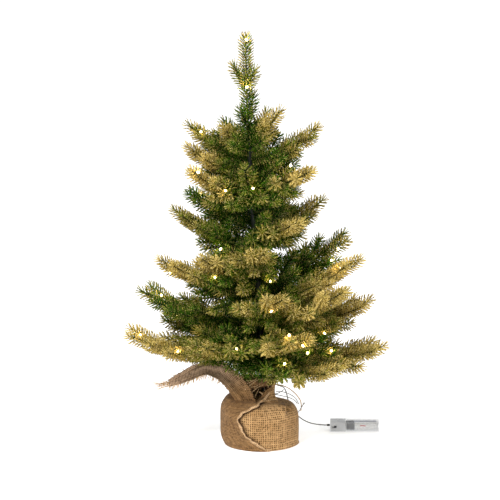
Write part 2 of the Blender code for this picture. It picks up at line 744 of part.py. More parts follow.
def make_contacts():
    low, high = cell_bay()
    top = cover_flange_low() - 2 * GAP
    half = CELL_RADIUS - 1.0
    for name, row in (("contact_front", 0), ("contact_rear", 1)):
        y, z = cell_axis(row)
        box(name, (low + GAP, y - half, BOX_FLOOR + GAP), (low + GAP + CONTACT_PLATE, y + half, top),
            PLATED_STEEL)
    front_y, rear_y = cell_axis(0)[0], cell_axis(1)[0]
    box("contact_bridge", (high - GAP - CONTACT_PLATE, front_y - half, BOX_FLOOR + GAP),
        (high - GAP, rear_y + half, top), PLATED_STEEL)
    left, right = cell_span()
    front_start = right[0] - CELL_LENGTH
    rear_end = left[1] + CELL_LENGTH
    make_spring("spring_front", left[0] + GAP, front_start - GAP, 0)
    make_spring("spring_rear", rear_end + GAP, right[1] - GAP, 1)


def make_spring(name, low, high, row):
    """A contact spring: a cone of wire, pressed almost flat round the cell's axis."""
    y, z = cell_axis(row)
    first = low + SPRING_WIRE_RADIUS
    last = high - SPRING_WIRE_RADIUS
    small, large = SPRING_RADII
    steps = round(SPRING_TURNS * 12)
    points = []
    for step in range(steps + 1):
        share = step / steps
        angle = math.tau * SPRING_TURNS * share
        radius = small + (large - small) * share
        points.append((first + (last - first) * share, y + radius * math.cos(angle),
                       z + radius * math.sin(angle)))
    tube(name, points, SPRING_WIRE_RADIUS, PLATED_STEEL)


def make_lead():
    tube("battery_lead", beside_bag(LEAD_ROUTE), LEAD_RADIUS, WIRE_COVER, spacing=2.4)


def make_grommet():
    """A soft sleeve in the box's end, which the lead stops against."""
    start = lead_end() + Vector((GAP, 0, 0))
    cylinder("lead_grommet", start, start + Vector((GROMMET_LENGTH, 0, 0)),
             GROMMET_RADIUS - GAP - 0.4, 12, BLACK_PLASTIC)


def make_strand():
    tube("jute_strand", beside_bag(STRAND_ROUTE), STRAND_RADIUS, JUTE, spacing=3.5)


clear_scene()
PARTS = collection(TREE_NAME)
CUTTERS = collection(CUTTER_COLLECTION)
make_pole()
make_sleeve()
make_tub()
make_cement()
make_socket()
make_bag()
make_ruffle()
make_tie()
make_tail()
make_branches()
make_leader()
make_light_string()
make_tray()
make_cover()
make_screw()
make_switch()
make_cells()
make_contacts()
make_lead()
make_grommet()
make_strand()
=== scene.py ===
"""Looks of the artificial tabletop tree: needle shoots, light string, burlap and battery box,
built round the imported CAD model. Lengths in the tables are in millimetres."""

import math
import random

import bpy
from mathutils import Matrix, Vector


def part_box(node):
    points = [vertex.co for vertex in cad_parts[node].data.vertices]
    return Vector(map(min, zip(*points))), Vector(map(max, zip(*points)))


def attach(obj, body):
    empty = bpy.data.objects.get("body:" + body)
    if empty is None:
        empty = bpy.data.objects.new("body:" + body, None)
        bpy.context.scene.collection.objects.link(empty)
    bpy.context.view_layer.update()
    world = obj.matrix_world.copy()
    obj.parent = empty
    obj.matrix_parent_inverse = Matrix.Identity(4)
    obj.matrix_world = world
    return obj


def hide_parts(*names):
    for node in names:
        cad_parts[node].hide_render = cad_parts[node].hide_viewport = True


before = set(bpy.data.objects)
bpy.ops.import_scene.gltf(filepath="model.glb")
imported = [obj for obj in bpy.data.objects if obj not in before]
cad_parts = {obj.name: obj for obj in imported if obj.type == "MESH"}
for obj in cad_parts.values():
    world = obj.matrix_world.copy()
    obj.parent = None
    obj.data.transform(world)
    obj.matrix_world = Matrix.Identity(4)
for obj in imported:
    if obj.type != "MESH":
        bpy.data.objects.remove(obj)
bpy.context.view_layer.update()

MM = 0.001

# Camera
CAMERA_TARGET = (-14.8, 0.0, 279.4)
CAMERA_ELEVATION_DEG = 13.0
CAMERA_DISTANCE = 20000.0
CAMERA_LENS = 1021.3
CAMERA_SENSOR = 36.0

# Pole and branches, by the same rule as the CAD model
POLE_X_AT_FLOOR = 9.7
POLE_LEAN_DEG = 3.4
POLE_TOP_Z = 438.0
SLEEVE_RADIUS = 4.0
ROOT_CLEARANCE = 1.2
STEM_SAG = 0.05
FIRST_SIDE_SHOOT = 0.26
LAST_SIDE_SHOOT = 0.66
SIDE_SHOOT_TURN_DEG = 40.0
SIDE_SHOOT_LENGTH = 0.62
SIDE_SHOOT_SHRINK = 0.42
SIDE_SHOOT_LIFT = 0.10
SIDE_SHOOT_BEND = 0.08
# Root height, azimuth, reach from the pole's axis, tip height, side shoots, share of gold
BRANCHES = [
    (427, 200, 46, 467, 2, 0.75), (430, 340, 50, 490, 1, 0.75), (405, 166, 96, 460, 3, 0.55),
    (392, 8, 101, 459, 3, 0.60), (378, 191, 98, 437, 3, 0.80), (366, 318, 117, 414, 3, 0.85),
    (372, 88, 84, 425, 3, 0.40), (346, 210, 106, 411, 3, 0.85), (316, 152, 108, 358, 4, 0.25),
    (290, 10, 103, 353, 4, 0.60), (276, 184, 122, 344, 4, 0.60), (262, 266, 108, 300, 4, 0.75),
    (304, 60, 98, 346, 4, 0.25), (240, 226, 120, 290, 4, 0.75), (212, 30, 146, 292, 5, 0.30),
    (216, 199, 154, 280, 4, 0.85), (196, 342, 156, 281, 5, 0.85), (182, 275, 128, 240, 4, 0.70),
    (206, 103, 128, 258, 5, 0.25), (162, 174, 177, 219, 5, 0.40), (168, 321, 157, 246, 5, 0.80),
    (148, 4, 161, 209, 5, 0.80), (138, 236, 150, 168, 5, 0.55), (142, 288, 146, 181, 4, 0.70),
    (144, 151, 160, 174, 5, 0.45), (119, 189, 198, 164, 5, 0.80), (112, 355, 179, 146, 5, 0.80),
    (119, 309, 150, 127, 4, 0.70), (122, 104, 146, 152, 5, 0.30), (130, 52, 156, 166, 5, 0.35),
    (428, 52, 44, 478, 1, 0.55), (348, 258, 60, 416, 2, 0.35), (302, 302, 104, 337, 4, 0.75),
]
# Leader: stem and side shoots, from the top of the pole's axis
LEADER_STEM = [(-0.1, 0.0, 1.0), (-2.3, 0.0, 42.0), (-3.5, 0.0, 76.0), (-4.5, 0.0, 118.0),
               (-4.7, 0.0, 156.0)]
LEADER_SHOOTS = [
    [(-3.3, 0.0, 74.0), (-13.7, 4.0, 92.0), (-25.7, 7.0, 114.0)],
    [(-3.5, 0.0, 76.0), (4.3, -4.0, 92.0), (10.3, -7.0, 110.0)],
    [(-1.1, 0.0, 18.0), (-8.7, -6.0, 36.0), (-14.7, -9.0, 54.0)],
    [(-1.7, 0.0, 30.0), (4.3, 10.0, 50.0), (6.3, 15.0, 70.0)],
]
LEADER_GOLD = 0.42
# Tint of a green needle, how it varies by shoot, and where along a branch the gold sets in
GREEN_TONE = 0.16
SHOOT_TONE_SPREAD = 0.13
BLOOM_START = 0.28
BLOOM_RUN = 0.55
# Partner of each inner side shoot, across the stem: its share of the length, its dip or lift
PARTNERS = 2
PARTNER_LENGTH = 0.62
PARTNER_LIFT = 0.20
# Short inner shoots that fill each branch out, above, below and beside its stem
FILL_SHOOTS = 8
FILL_TURN_DEG = 46.0
FILL_FIRST = 0.02
FILL_RUN = 0.50
FILL_LENGTH = 0.40
FILL_SHRINK = 0.34
FILL_LEAST = 14.0
# Branches that start below this have no fill shoots pointing down
LOW_BRANCH_Z = 150.0
# Short shoots round the pole between the branches
POLE_SHOOTS = 44
POLE_SHOOTS_LOW = 128.0
POLE_SHOOTS_HIGH = 440.0
POLE_SHOOT_LENGTH = 46.0
POLE_SHOOT_RISE = 0.55
POLE_SHOOT_GAP_DEG = 26.0
# Shoots that hang low in front of the neck: body, points
HANGING_SHOOTS = {
    "branch_23": [[(-20, -28, 136), (-27, -46, 122), (-30, -58, 114)],
                  [(-12, -22, 136), (-18, -40, 121), (-18, -54, 111)],
                  [(-34, -24, 136), (-42, -40, 125), (-46, -54, 117)],
                  [(-10, -10, 134), (-24, -28, 121), (-38, -44, 113)],
                  [(-6, -12, 134), (-12, -28, 122), (-14, -44, 114)],
                  [(-14, -6, 128), (-24, -16, 112), (-34, -30, 101)],
                  [(-4, -8, 124), (-12, -20, 110), (-18, -34, 101)]],
    "branch_28": [[(22, -26, 118), (8, -44, 112), (-4, -60, 108)],
                  [(30, -38, 116), (20, -58, 110), (10, -72, 106)]],
    "branch_24": [[(8, -26, 142), (-2, -52, 126), (-8, -66, 115)],
                  [(2, -20, 140), (-10, -44, 126), (-16, -60, 116)]],
}

# Needles
NEEDLE_LENGTH = 15.0
NEEDLE_WIDTH = 1.7
NEEDLE_THICKNESS = 1.2
NEEDLE_BEND = 0.05
NEEDLES_IN_RING = 8
NEEDLE_RING_PITCH = 4.0
NEEDLE_SPREAD_DEG = 58.0
TIP_RUN = 9.0
TIP_NARROWING = 0.55
TIP_STRETCH = 1.35
GOLDEN_ANGLE = 2.39996
SHOOT_END_TRIM = 10.0
STEM_WIRE_RADIUS = 1.1
SHOOT_WIRE_RADIUS = 0.8
ROUTE_STEP = 6.0

# Light string: (body, x, y, z) of each lit bulb
BULB_RADIUS = 1.6
BULB_LENGTH = 4.8
BULB_SLEEVE_RADIUS = 1.25
BULB_SLEEVE_LENGTH = 5.5
STRING_RADIUS = 0.45
STRING_COIL_RADIUS = 3.4
STRING_COIL_PITCH = 26.0
BULB_POWER = 0.010
BULBS = [
    ("base", -19.2, -7.0, 516.2), ("base", -19.9, -8.0, 584.5),
    ("branch_08", -87.4, -50.0, 403.0), ("branch_08", -49.6, -51.4, 377.0),
    ("branch_32", -10.6, -43.1, 378.4), ("branch_06", 42.2, -48.0, 412.2),
    ("branch_11", -56.1, -29.5, 287.6), ("branch_16", -64.4, -49.2, 251.1),
    ("branch_16", -126.5, -20.0, 251.3), ("branch_26", -169.6, -24.7, 162.4),
    ("branch_15", 100.1, 4.3, 263.6), ("branch_15", 109.6, 14.0, 278.0),
    ("branch_24", 40.2, -124.0, 185.3), ("branch_22", 90.7, -28.0, 165.8),
    ("branch_24", 59.6, -115.4, 168.1), ("branch_27", 66.4, -30.0, 137.2),
    ("branch_27", 100.1, -37.6, 142.3), ("branch_28", 34.0, -79.0, 133.3),
    ("branch_12", 13.8, -53.1, 246.5), ("branch_18", 15.1, -101.3, 214.6),
    ("branch_26", -115.8, -64.2, 147.8), ("branch_23", -33.4, -105.8, 161.6),
    ("branch_19", -30.0, 92.0, 236.0), ("branch_29", -36.0, 108.0, 150.0),
    ("branch_30", 80.0, 92.0, 150.0), ("branch_13", 30.0, 66.0, 332.0),
    ("branch_07", -16.0, 62.0, 412.0), ("branch_09", -84.0, 44.0, 352.0),
    ("branch_25", -118.0, 72.0, 168.0), ("branch_20", -140.0, 8.0, 212.0),
    ("branch_03", -84.0, 7.3, 448.5), ("branch_17", 112.0, -50.7, 264.9),
]

# Lead and loose strand, on the CAD model's routes
LEAD_RADIUS = 0.85
LEAD_ROUTE = [(20.0, 4.0, 84.0), (23.3, 7.4, 82.0), (27.5, 13.5, 79.0), (31.5, 22.5, 75.5),
              (34.5, 32.5, 70.0), (37.0, 42.0, 61.5), (39.0, 50.0, 50.5), (42.0, 56.5, 40.0),
              (47.0, 62.0, 30.5), (54.0, 66.5, 22.0), (62.5, 70.0, 15.0), (72.0, 72.8, 10.4),
              (82.0, 74.5, 8.1), (90.0, 75.0, 7.3), (94.0, 75.0, 7.2)]
STRAND_RADIUS = 0.7
STRAND_ROUTE = [(21.0, -6.0, 86.0), (28.0, -10.0, 86.0), (36.0, -12.5, 84.0), (44.0, -13.0, 79.0),
                (51.0, -12.0, 72.0), (56.5, -9.5, 63.0), (57.6, -6.5, 54.0), (57.0, -4.0, 47.0)]
SWITCH_BAY = 22.0
CELL_LENGTH = 44.5

# Burlap bag, in rings from the middle of its base to the lip of its mouth: radius, height, share of
# the neck's shift, and changes of radius and height near an angle (angle, width, radius, height)
BURLAP_WALL = 1.0
BAG_REST_Z = 0.3
NECK_SHIFT_X = -9.0
BAG_RINGS = [
    (0.5, 0.5, 0.0, []),
    (28.0, 0.5, 0.0, []),
    (49.5, 0.5, 0.0, [(182, 55, -3.0, 0), (284, 45, 5.0, 0), (0, 30, 2.8, 0)]),
    (52.3, 3.8, 0.0, [(182, 55, -1.5, 0), (284, 45, 3.0, 0), (0, 30, 1.3, 0)]),
    (54.2, 14.0, 0.0, [(182, 50, 0.5, 0)]),
    (54.8, 30.0, 0.0, [(0, 45, -0.6, 0)]),
    (54.2, 44.0, 0.0, [(0, 45, -1.2, 0), (182, 50, 0.8, 0), (300, 35, -0.8, 0)]),
    (52.3, 54.0, 0.05, [(0, 40, -2.5, -1.5), (182, 50, 1.6, 0), (300, 35, -4.5, -1.0), (60, 40, 0, -2.0)]),
    (47.8, 60.5, 0.2, [(0, 36, -1.0, -4.0), (182, 50, 2.0, 0.3), (300, 35, -6.0, -1.0), (60, 40, 0, -4.0)]),
    (40.5, 64.5, 0.55, [(0, 38, 1.5, -6.5), (182, 50, 2.0, 1.5), (285, 40, -3.5, -1.0),
                        (60, 40, 0, -5.0)]),
    (32.8, 67.5, 0.9, [(0, 38, -0.5, -7.0), (182, 50, 0.5, 2.5), (270, 40, -0.8, -3.5),
                       (60, 40, 0, -4.5)]),
    (28.8, 75.0, 1.0, [(0, 38, 0.0, -2.0), (270, 38, -1.0, -9.5), (60, 40, 0, -3.0)]),
    (30.5, 92.0, 1.0, [(270, 34, -3.6, -27.0)]),
]
RIDGE_LOW_DEG = 312.0
RIDGE_HIGH_DEG = 338.0
RIDGE_HEIGHT = 5.5
# Where the painted shade in the pocket sits, and how far the painted shadow reaches past the hem
POCKET_DEG = 332.0
SHADE_REACH = 4.5

# Outer layer: its hem's angle at each ring, and how far it stands off the bag
HEM_LINE = [(2.0, 284.0), (3.05, 274.6), (3.7, 265.3), (4.2, 256.4), (4.55, 248.0), (5.0, 243.5),
            (6.0, 235.5), (6.8, 241.8), (7.7, 255.6), (8.4, 268.7), (10.3, 290.0), (11.0, 304.0),
            (12.0, 320.0)]
WRAP_START = 2.0
WRAP_END_DEG = 68.0
WRAP_LIFT = 1.7
HEM_LIFT = 3.6
HEM_RADIUS = 2.0
MOUTH_FLOOR_Z = 66.0
TWINE_RING = 10.35
TWINE_RADIUS = 0.7

# Tail: centre, half width and the way across it
TAIL_LINE = [
    ((-17, -24.0, 58), 15.0, (0.97, -0.10, -0.20)),
    ((-23, -29.5, 73), 14.5, (0.93, -0.08, 0.05)),
    ((-33, -29.0, 89), 13.5, (0.78, 0.08, 0.50)),
    ((-46, -25.5, 102), 13.5, (0.50, 0.35, 0.75)),
    ((-60, -22.5, 110), 13.0, (0.25, 0.55, 0.80)),
    ((-76, -20.0, 112), 11.5, (0.05, 0.70, 0.72)),
    ((-94, -19.0, 106), 11.0, (-0.12, 0.70, 0.72)),
    ((-112, -18.0, 97), 8.0, (-0.15, 0.70, 0.72)),
    ((-129, -18.0, 90), 5.0, (-0.15, 0.70, 0.72)),
]
THREAD_RADIUS = 0.36
MOUTH_STRAND_RADIUS = 0.75
MOUTH_STRAND_STEP = 2.5
LIP_THREADS = 130
FRINGE_PER_ROW = 2
FRINGE_RADIUS = 0.55
TIP_STRANDS = 16
# Loose strands in front of the mouth: start, end and how far the middle stands up
WADS = [((-20.0, -22.0, 86.0), (8.0, 6.0, 11.0), 0.3), ((-11.0, -17.0, 91.0), (8.5, 7.0, 8.0), 1.7),
        ((4.0, -17.0, 92.0), (7.5, 6.0, 6.0), 2.9), ((-4.0, -6.0, 88.0), (11.0, 8.0, 8.0), 4.1)]
MOUTH_STRANDS = [
    ((-19, -31, 93), (6, -27, 98), 3.0), ((-22, -30, 84), (-4, -26, 97), 1.5),
    ((-16, -31, 88), (2, -27, 94), -2.0), ((-12, -29, 80), (4, -25, 90), 2.0),
    ((-8, -27, 72), (-2, -22, 84), 1.0), ((-2, -27, 80), (3, -24, 74), 2.5),
    ((-20, -29, 97), (-2, -27, 100), -1.0),
]
# Twisted wire ends beside the neck
STUB_RADIUS = 0.6
STUB_WIRES = [
    [(20, -4, 72), (24, -7, 73), (29, -8, 76), (33, -8, 79)],
    [(21, 0, 70), (30, -4, 69), (40, -6, 67), (48, -6, 63), (52, -6, 58)],
    [(22, 1, 74), (32, -2, 74), (42, -4, 71), (50, -5, 65), (54, -5, 57)],
    [(52, -6, 44), (55, -7, 48), (58.5, -8, 54), (61, -8, 58)],
]
COARSE_PITCH = 3.1
FINE_PITCH = 2.3

# Stage
FLOOR_HALF = 20000.0
WORLD_STRENGTH = 0.62
FLOOR_GLOW = 0.42


# Common helpers

def mm(point):
    return Vector(point) * MM


def smooth_route(points, step):
    """Points about a step apart on a Catmull-Rom curve through the given points."""
    route = [Vector(p) for p in points]
    ends = [route[0] * 2 - route[1]] + route + [route[-1] * 2 - route[-2]]
    made = []
    for a, b, c, d in zip(ends, ends[1:], ends[2:], ends[3:]):
        count = max(1, round((c - b).length / step))
        for index in range(count):
            t = index / count
            made.append(0.5 * (2 * b + (c - a) * t + (2 * a - 5 * b + 4 * c - d) * t ** 2
                               + (3 * b - a - 3 * c + d) * t ** 3))
    made.append(route[-1])
    return made


def new_object(name, data, material=None):
    made = bpy.data.objects.new(name, data)
    bpy.context.scene.collection.objects.link(made)
    if material:
        data.materials.append(material)
    return made


def mesh_object(name, points, faces, material, smooth=True):
    """A mesh object from points in millimetres."""
    mesh = bpy.data.meshes.new(name)
    mesh.from_pydata([mm(p) for p in points], [], faces)
    mesh.update()
    if smooth:
        mesh.shade_smooth()
    return new_object(name, mesh, material)


def apply_modifiers(obj):
    """Gives the object the plain mesh that its modifiers make."""
    depsgraph = bpy.context.evaluated_depsgraph_get()
    mesh = bpy.data.meshes.new_from_object(obj.evaluated_get(depsgraph))
    obj.modifiers.clear()
    obj.data = mesh
    mesh.name = obj.name


def joined(name, objects):
    """One mesh object of several, with a material slot for each material used."""
    with bpy.context.temp_override(active_object=objects[0], selected_editable_objects=objects):
        bpy.ops.object.join()
    objects[0].name = name
    objects[0].data.name = name
    return objects[0]


def frames_along(points):
    """A (tangent, across, upright) frame at each point, turning as little as it can."""
    frames = []
    across = None
    for index in range(len(points)):
        ahead = points[min(index + 1, len(points) - 1)] - points[max(index - 1, 0)]
        tangent = ahead.normalized()
        if across is None:
            across = tangent.orthogonal()
        across = (across - tangent * across.dot(tangent)).normalized()
        frames.append((tangent, across, tangent.cross(across)))
    return frames


def swept(name, points, radii, material, sides=8, around=1.0):
    """A closed round tube through points with a radius at each, and a UV map round and along it."""
    frames = frames_along(points)
    verts, faces, turns = [], [], []
    for point, radius, (_, across, upright) in zip(points, radii, frames):
        for side in range(sides):
            angle = math.tau * side / sides
            verts.append(point + (across * math.cos(angle) + upright * math.sin(angle)) * radius)
    travelled = [0.0]
    for first, second in zip(points, points[1:]):
        travelled.append(travelled[-1] + (second - first).length)
    for ring in range(len(points) - 1):
        for side in range(sides):
            following = (side + 1) % sides
            low, high = ring * sides, (ring + 1) * sides
            faces.append((low + side, low + following, high + following, high + side))
            left, right = around * side / sides, around * (side + 1) / sides
            turns += [(left, travelled[ring]), (right, travelled[ring]),
                      (right, travelled[ring + 1]), (left, travelled[ring + 1])]
    faces.append(tuple(reversed(range(sides))))
    turns += [(0.5, 0.0)] * sides
    last = (len(points) - 1) * sides
    faces.append(tuple(last + side for side in range(sides)))
    turns += [(0.5, travelled[-1])] * sides
    made = mesh_object(name, verts, faces, material)
    uv = made.data.uv_layers.new(name="UVMap")
    for loop, (turn, length) in zip(uv.data, turns):
        loop.uv = (turn, length * MM)
    return made


# Material building

def new_material(name):
    """A named material, its tree and its shader."""
    made = bpy.data.materials.new(name)
    made.use_nodes = True
    return made, made.node_tree, made.node_tree.nodes["Principled BSDF"]


def add_node(tree, kind, settings=None, inputs=None):
    """A node with its settings, whose inputs are values or other nodes' sockets."""
    made = tree.nodes.new(kind)
    for name, value in (settings or {}).items():
        setattr(made, name, value)
    for name, value in (inputs or {}).items():
        if isinstance(value, bpy.types.NodeSocket):
            tree.links.new(value, made.inputs[name])
        else:
            made.inputs[name].default_value = value
    return made


def set_shader(shader, **values):
    for name, value in values.items():
        shader.inputs[name.replace("_", " ")].default_value = value


def math_node(tree, operation, first, second=0.0):
    return add_node(tree, "ShaderNodeMath", {"operation": operation}, {0: first, 1: second}).outputs[0]


def ramp(tree, factor, stops):
    """A colour ramp with (position, (r, g, b)) stops."""
    made = add_node(tree, "ShaderNodeValToRGB", inputs={"Fac": factor})
    elements = made.color_ramp.elements
    while len(elements) < len(stops):
        elements.new(0.5)
    for element, (position, colour) in zip(elements, stops):
        element.position = position
        element.color = (*colour, 1.0)
    return made.outputs["Color"]


def mix_colour(tree, factor, first, second, blend="MIX"):
    made = add_node(tree, "ShaderNodeMix", {"data_type": "RGBA", "blend_type": blend})
    for index, value in ((0, factor), (6, first), (7, second)):
        if isinstance(value, bpy.types.NodeSocket):
            tree.links.new(value, made.inputs[index])
        elif index:
            made.inputs[index].default_value = (*value, 1.0)
        else:
            made.inputs[index].default_value = value
    return made.outputs[2]


def object_place(tree):
    return add_node(tree, "ShaderNodeTexCoord").outputs["Object"]


def noise(tree, vector, scale, detail=3.0, roughness=0.5):
    made = add_node(tree, "ShaderNodeTexNoise", inputs={"Vector": vector, "Scale": scale,
                                                        "Detail": detail, "Roughness": roughness})
    return made.outputs["Fac"]


def darken_by_painted_shade(tree, colour):
    """The colour, darkened as painted shade where the mesh's own painted shade value is high."""
    hollow = add_node(tree, "ShaderNodeAttribute", {"attribute_name": "hollow"}).outputs["Fac"]
    return mix_colour(tree, hollow, colour, (0.045, 0.022, 0.009))


def add_bump(tree, shader, height, distance, strength=1.0):
    bump = add_node(tree, "ShaderNodeBump", inputs={"Height": height, "Distance": distance,
                                                    "Strength": strength})
    tree.links.new(bump.outputs["Normal"], shader.inputs["Normal"])


def scaled(tree, vector, scale):
    return add_node(tree, "ShaderNodeMapping", inputs={"Vector": vector, "Scale": scale}).outputs[0]


def mottled(name, dark, light, noise_scale, roughness, bump=0.0, metallic=0.0, **values):
    """A moulded, painted or cast finish: two close colours, uneven roughness and a fine grain."""
    material, tree, shader = new_material(name)
    place = object_place(tree)
    patches = noise(tree, place, noise_scale)
    colour = ramp(tree, patches, [(0.3, dark), (0.7, light)])
    tree.links.new(colour, shader.inputs["Base Color"])
    grain = noise(tree, place, noise_scale * 6, 4.0)
    rough = add_node(tree, "ShaderNodeMapRange", inputs={0: grain, 3: roughness * 0.8,
                                                        4: min(1.0, roughness * 1.2)})
    tree.links.new(rough.outputs[0], shader.inputs["Roughness"])
    if bump:
        add_bump(tree, shader, grain, bump)
    set_shader(shader, Metallic=metallic, **values)
    return material


# Finishes

def needle_finish():
    """Needles: deep green in the tree, gold glitter outside. U runs along a needle, V is its tint."""
    material, tree, shader = new_material("needle_film")
    uv = add_node(tree, "ShaderNodeUVMap", {"uv_map": "OFBake"}).outputs[0]
    parts = add_node(tree, "ShaderNodeSeparateXYZ", inputs={0: uv})
    along, tint = parts.outputs[0], parts.outputs[1]
    outward = add_node(tree, "ShaderNodeMapRange", inputs={0: along, 3: -0.10, 4: 0.12}).outputs[0]
    level = math_node(tree, "ADD", tint, outward)
    film = ramp(tree, level, [(0.05, (0.007, 0.034, 0.001)), (0.30, (0.026, 0.082, 0.002)),
                              (0.48, (0.064, 0.088, 0.002)), (0.66, (0.110, 0.084, 0.004)),
                              (0.84, (0.165, 0.108, 0.010)), (0.96, (0.230, 0.160, 0.024))])
    # Each needle gets a random brightness: partly its own tone, partly painted highlight and shade between
    # needles.
    cell = math_node(tree, "FLOOR", math_node(tree, "MULTIPLY", tint, 500.0))
    own = add_node(tree, "ShaderNodeTexWhiteNoise", {"noise_dimensions": "1D"}, {"W": cell}).outputs["Value"]
    tone_and_painted_highlight = add_node(tree, "ShaderNodeMapRange", inputs={0: own, 3: 0.30, 4: 2.10}).outputs[0]
    light = add_node(tree, "ShaderNodeCombineXYZ", inputs={0: tone_and_painted_highlight, 1: tone_and_painted_highlight, 2: tone_and_painted_highlight}).outputs[0]
    film = mix_colour(tree, 1.0, film, light, "MULTIPLY")
    # Pale gold flecks: partly real glitter, partly painted glints, smoother where they are.
    flecks = noise(tree, scaled(tree, uv, (26.0, 420.0, 1.0)), 1.0, 1.0)
    gold_share = add_node(tree, "ShaderNodeMapRange", inputs={0: level, 1: 0.25, 2: 0.85, 3: 0.01,
                                                             4: 0.14}).outputs[0]
    threshold = math_node(tree, "SUBTRACT", 0.66, gold_share)
    glitter_and_glint = math_node(tree, "GREATER_THAN", flecks, threshold)
    with_glitter_and_glint = mix_colour(tree, math_node(tree, "MULTIPLY", glitter_and_glint, 0.9), film, (0.95, 0.76, 0.28))
    bark = math_node(tree, "GREATER_THAN", tint, 0.965)
    colour = mix_colour(tree, bark, with_glitter_and_glint, (0.020, 0.026, 0.010))
    tree.links.new(colour, shader.inputs["Base Color"])
    rough = add_node(tree, "ShaderNodeMapRange", inputs={0: glitter_and_glint, 3: 0.60, 4: 0.30}).outputs[0]
    tree.links.new(rough, shader.inputs["Roughness"])
    set_shader(shader, Specular_IOR_Level=0.05)
    return material


def burlap_finish(name, pitch, gap_shade_depth, pale, deep, wander_by):
    """Open plain weave: two sets of rough yarns over and under each other, with painted shade in the gaps
    between them.
    """
    material, tree, shader = new_material(name)
    uv = add_node(tree, "ShaderNodeUVMap", {"uv_map": "UVMap"}).outputs[0]
    drift = noise(tree, scaled(tree, uv, (55.0, 55.0, 1.0)), 1.0, 2.0)
    wander = add_node(tree, "ShaderNodeMapRange", inputs={0: drift, 3: -wander_by, 4: wander_by}).outputs[0]
    slack = noise(tree, scaled(tree, uv, (190.0, 190.0, 1.0)), 1.0, 2.0)
    slack = add_node(tree, "ShaderNodeMapRange",
                     inputs={0: slack, 1: 0.3, 2: 0.7, 3: -0.30, 4: 0.45}).outputs[0]
    parts = add_node(tree, "ShaderNodeSeparateXYZ", inputs={0: uv})
    yarns = []
    for axis, other in ((0, 1), (1, 0)):
        count = math_node(tree, "MULTIPLY", parts.outputs[axis], 1.0 / (pitch * MM))
        count = math_node(tree, "ADD", count, wander)
        crossing = math_node(tree, "MULTIPLY", parts.outputs[other], math.pi / (pitch * MM))
        row = math_node(tree, "FLOOR", count)
        across = math_node(tree, "ABSOLUTE", math_node(tree, "SUBTRACT",
                                                       math_node(tree, "FRACT", count), 0.5))
        round_top = math_node(tree, "SUBTRACT", 1.0, math_node(tree, "MULTIPLY", across, 2.6))
        over = math_node(tree, "SINE", math_node(tree, "ADD", crossing,
                                                 math_node(tree, "MULTIPLY", row, math.pi)))
        flip = 0.22 if axis == 0 else -0.22
        height = math_node(tree, "ADD", round_top, math_node(tree, "MULTIPLY", over, flip))
        tone = add_node(tree, "ShaderNodeTexWhiteNoise", {"noise_dimensions": "1D"}, {"W": row})
        yarns.append((height, tone.outputs["Value"]))
    top = math_node(tree, "MAXIMUM", yarns[0][0], yarns[1][0])
    chosen = math_node(tree, "GREATER_THAN", yarns[0][0], yarns[1][0])
    tone = add_node(tree, "ShaderNodeMix", {"data_type": "FLOAT"},
                    {0: chosen, 2: yarns[1][1], 3: yarns[0][1]}).outputs[0]
    fibre = noise(tree, scaled(tree, uv, (1500.0, 1500.0, 1.0)), 1.0, 3.0)
    stain = noise(tree, scaled(tree, uv, (30.0, 30.0, 1.0)), 1.0, 3.0)
    shade = math_node(tree, "ADD", math_node(tree, "MULTIPLY", tone, 0.18),
                      math_node(tree, "MULTIPLY", fibre, 0.45))
    shade = math_node(tree, "ADD", shade, math_node(tree, "MULTIPLY", stain, 0.35))
    cloth = ramp(tree, shade, [(0.30, deep), (0.58, pale), (0.80, tuple(c * 1.25 for c in pale))])
    faded = add_node(tree, "ShaderNodeAttribute", {"attribute_name": "faded"}).outputs["Fac"]
    cloth = mix_colour(tree, math_node(tree, "MULTIPLY", faded, 0.65), cloth, (0.60, 0.43, 0.30))
    # The gaps between the yarns and the yarns' low edges are darkened: painted shade.
    gap = add_node(tree, "ShaderNodeMapRange", {"interpolation_type": "SMOOTHSTEP"},
                   {0: math_node(tree, "ADD", top, slack), 1: 0.15, 2: 0.75}).outputs[0]
    with_gap_shade = mix_colour(tree, gap, tuple(c * gap_shade_depth for c in deep), cloth)
    # The mesh's painted shade value darkens the cloth: painted shadow along the hem, painted shade in the
    # pocket.
    tree.links.new(darken_by_painted_shade(tree, with_gap_shade), shader.inputs["Base Color"])
    relief = math_node(tree, "ADD", math_node(tree, "MULTIPLY", gap, 1.0),
                       math_node(tree, "MULTIPLY", fibre, 0.25))
    add_bump(tree, shader, relief, 0.0005, 0.8)
    set_shader(shader, Roughness=0.95, Specular_IOR_Level=0.12, Sheen_Weight=0.05)
    return material


def twisted_finish(name, dark, light, twist, roughness):
    """A twisted yarn or wire: spiral shading from the tube's own UV map."""
    material, tree, shader = new_material(name)
    uv = add_node(tree, "ShaderNodeUVMap", {"uv_map": "UVMap"}).outputs[0]
    parts = add_node(tree, "ShaderNodeSeparateXYZ", inputs={0: uv})
    lay = math_node(tree, "MULTIPLY", parts.outputs[1], math.tau / (twist * MM))
    turn = math_node(tree, "ADD", lay, math_node(tree, "MULTIPLY", parts.outputs[0], 2 * math.tau))
    spiral = math_node(tree, "MULTIPLY", math_node(tree, "ADD", math_node(tree, "SINE", turn), 1.0), 0.5)
    fibre = noise(tree, object_place(tree), 900.0)
    shade = math_node(tree, "ADD", math_node(tree, "MULTIPLY", spiral, 0.7),
                      math_node(tree, "MULTIPLY", fibre, 0.4))
    tree.links.new(ramp(tree, shade, [(0.2, dark), (0.8, light)]), shader.inputs["Base Color"])
    add_bump(tree, shader, shade, 0.0002)
    set_shader(shader, Roughness=roughness)
    return material


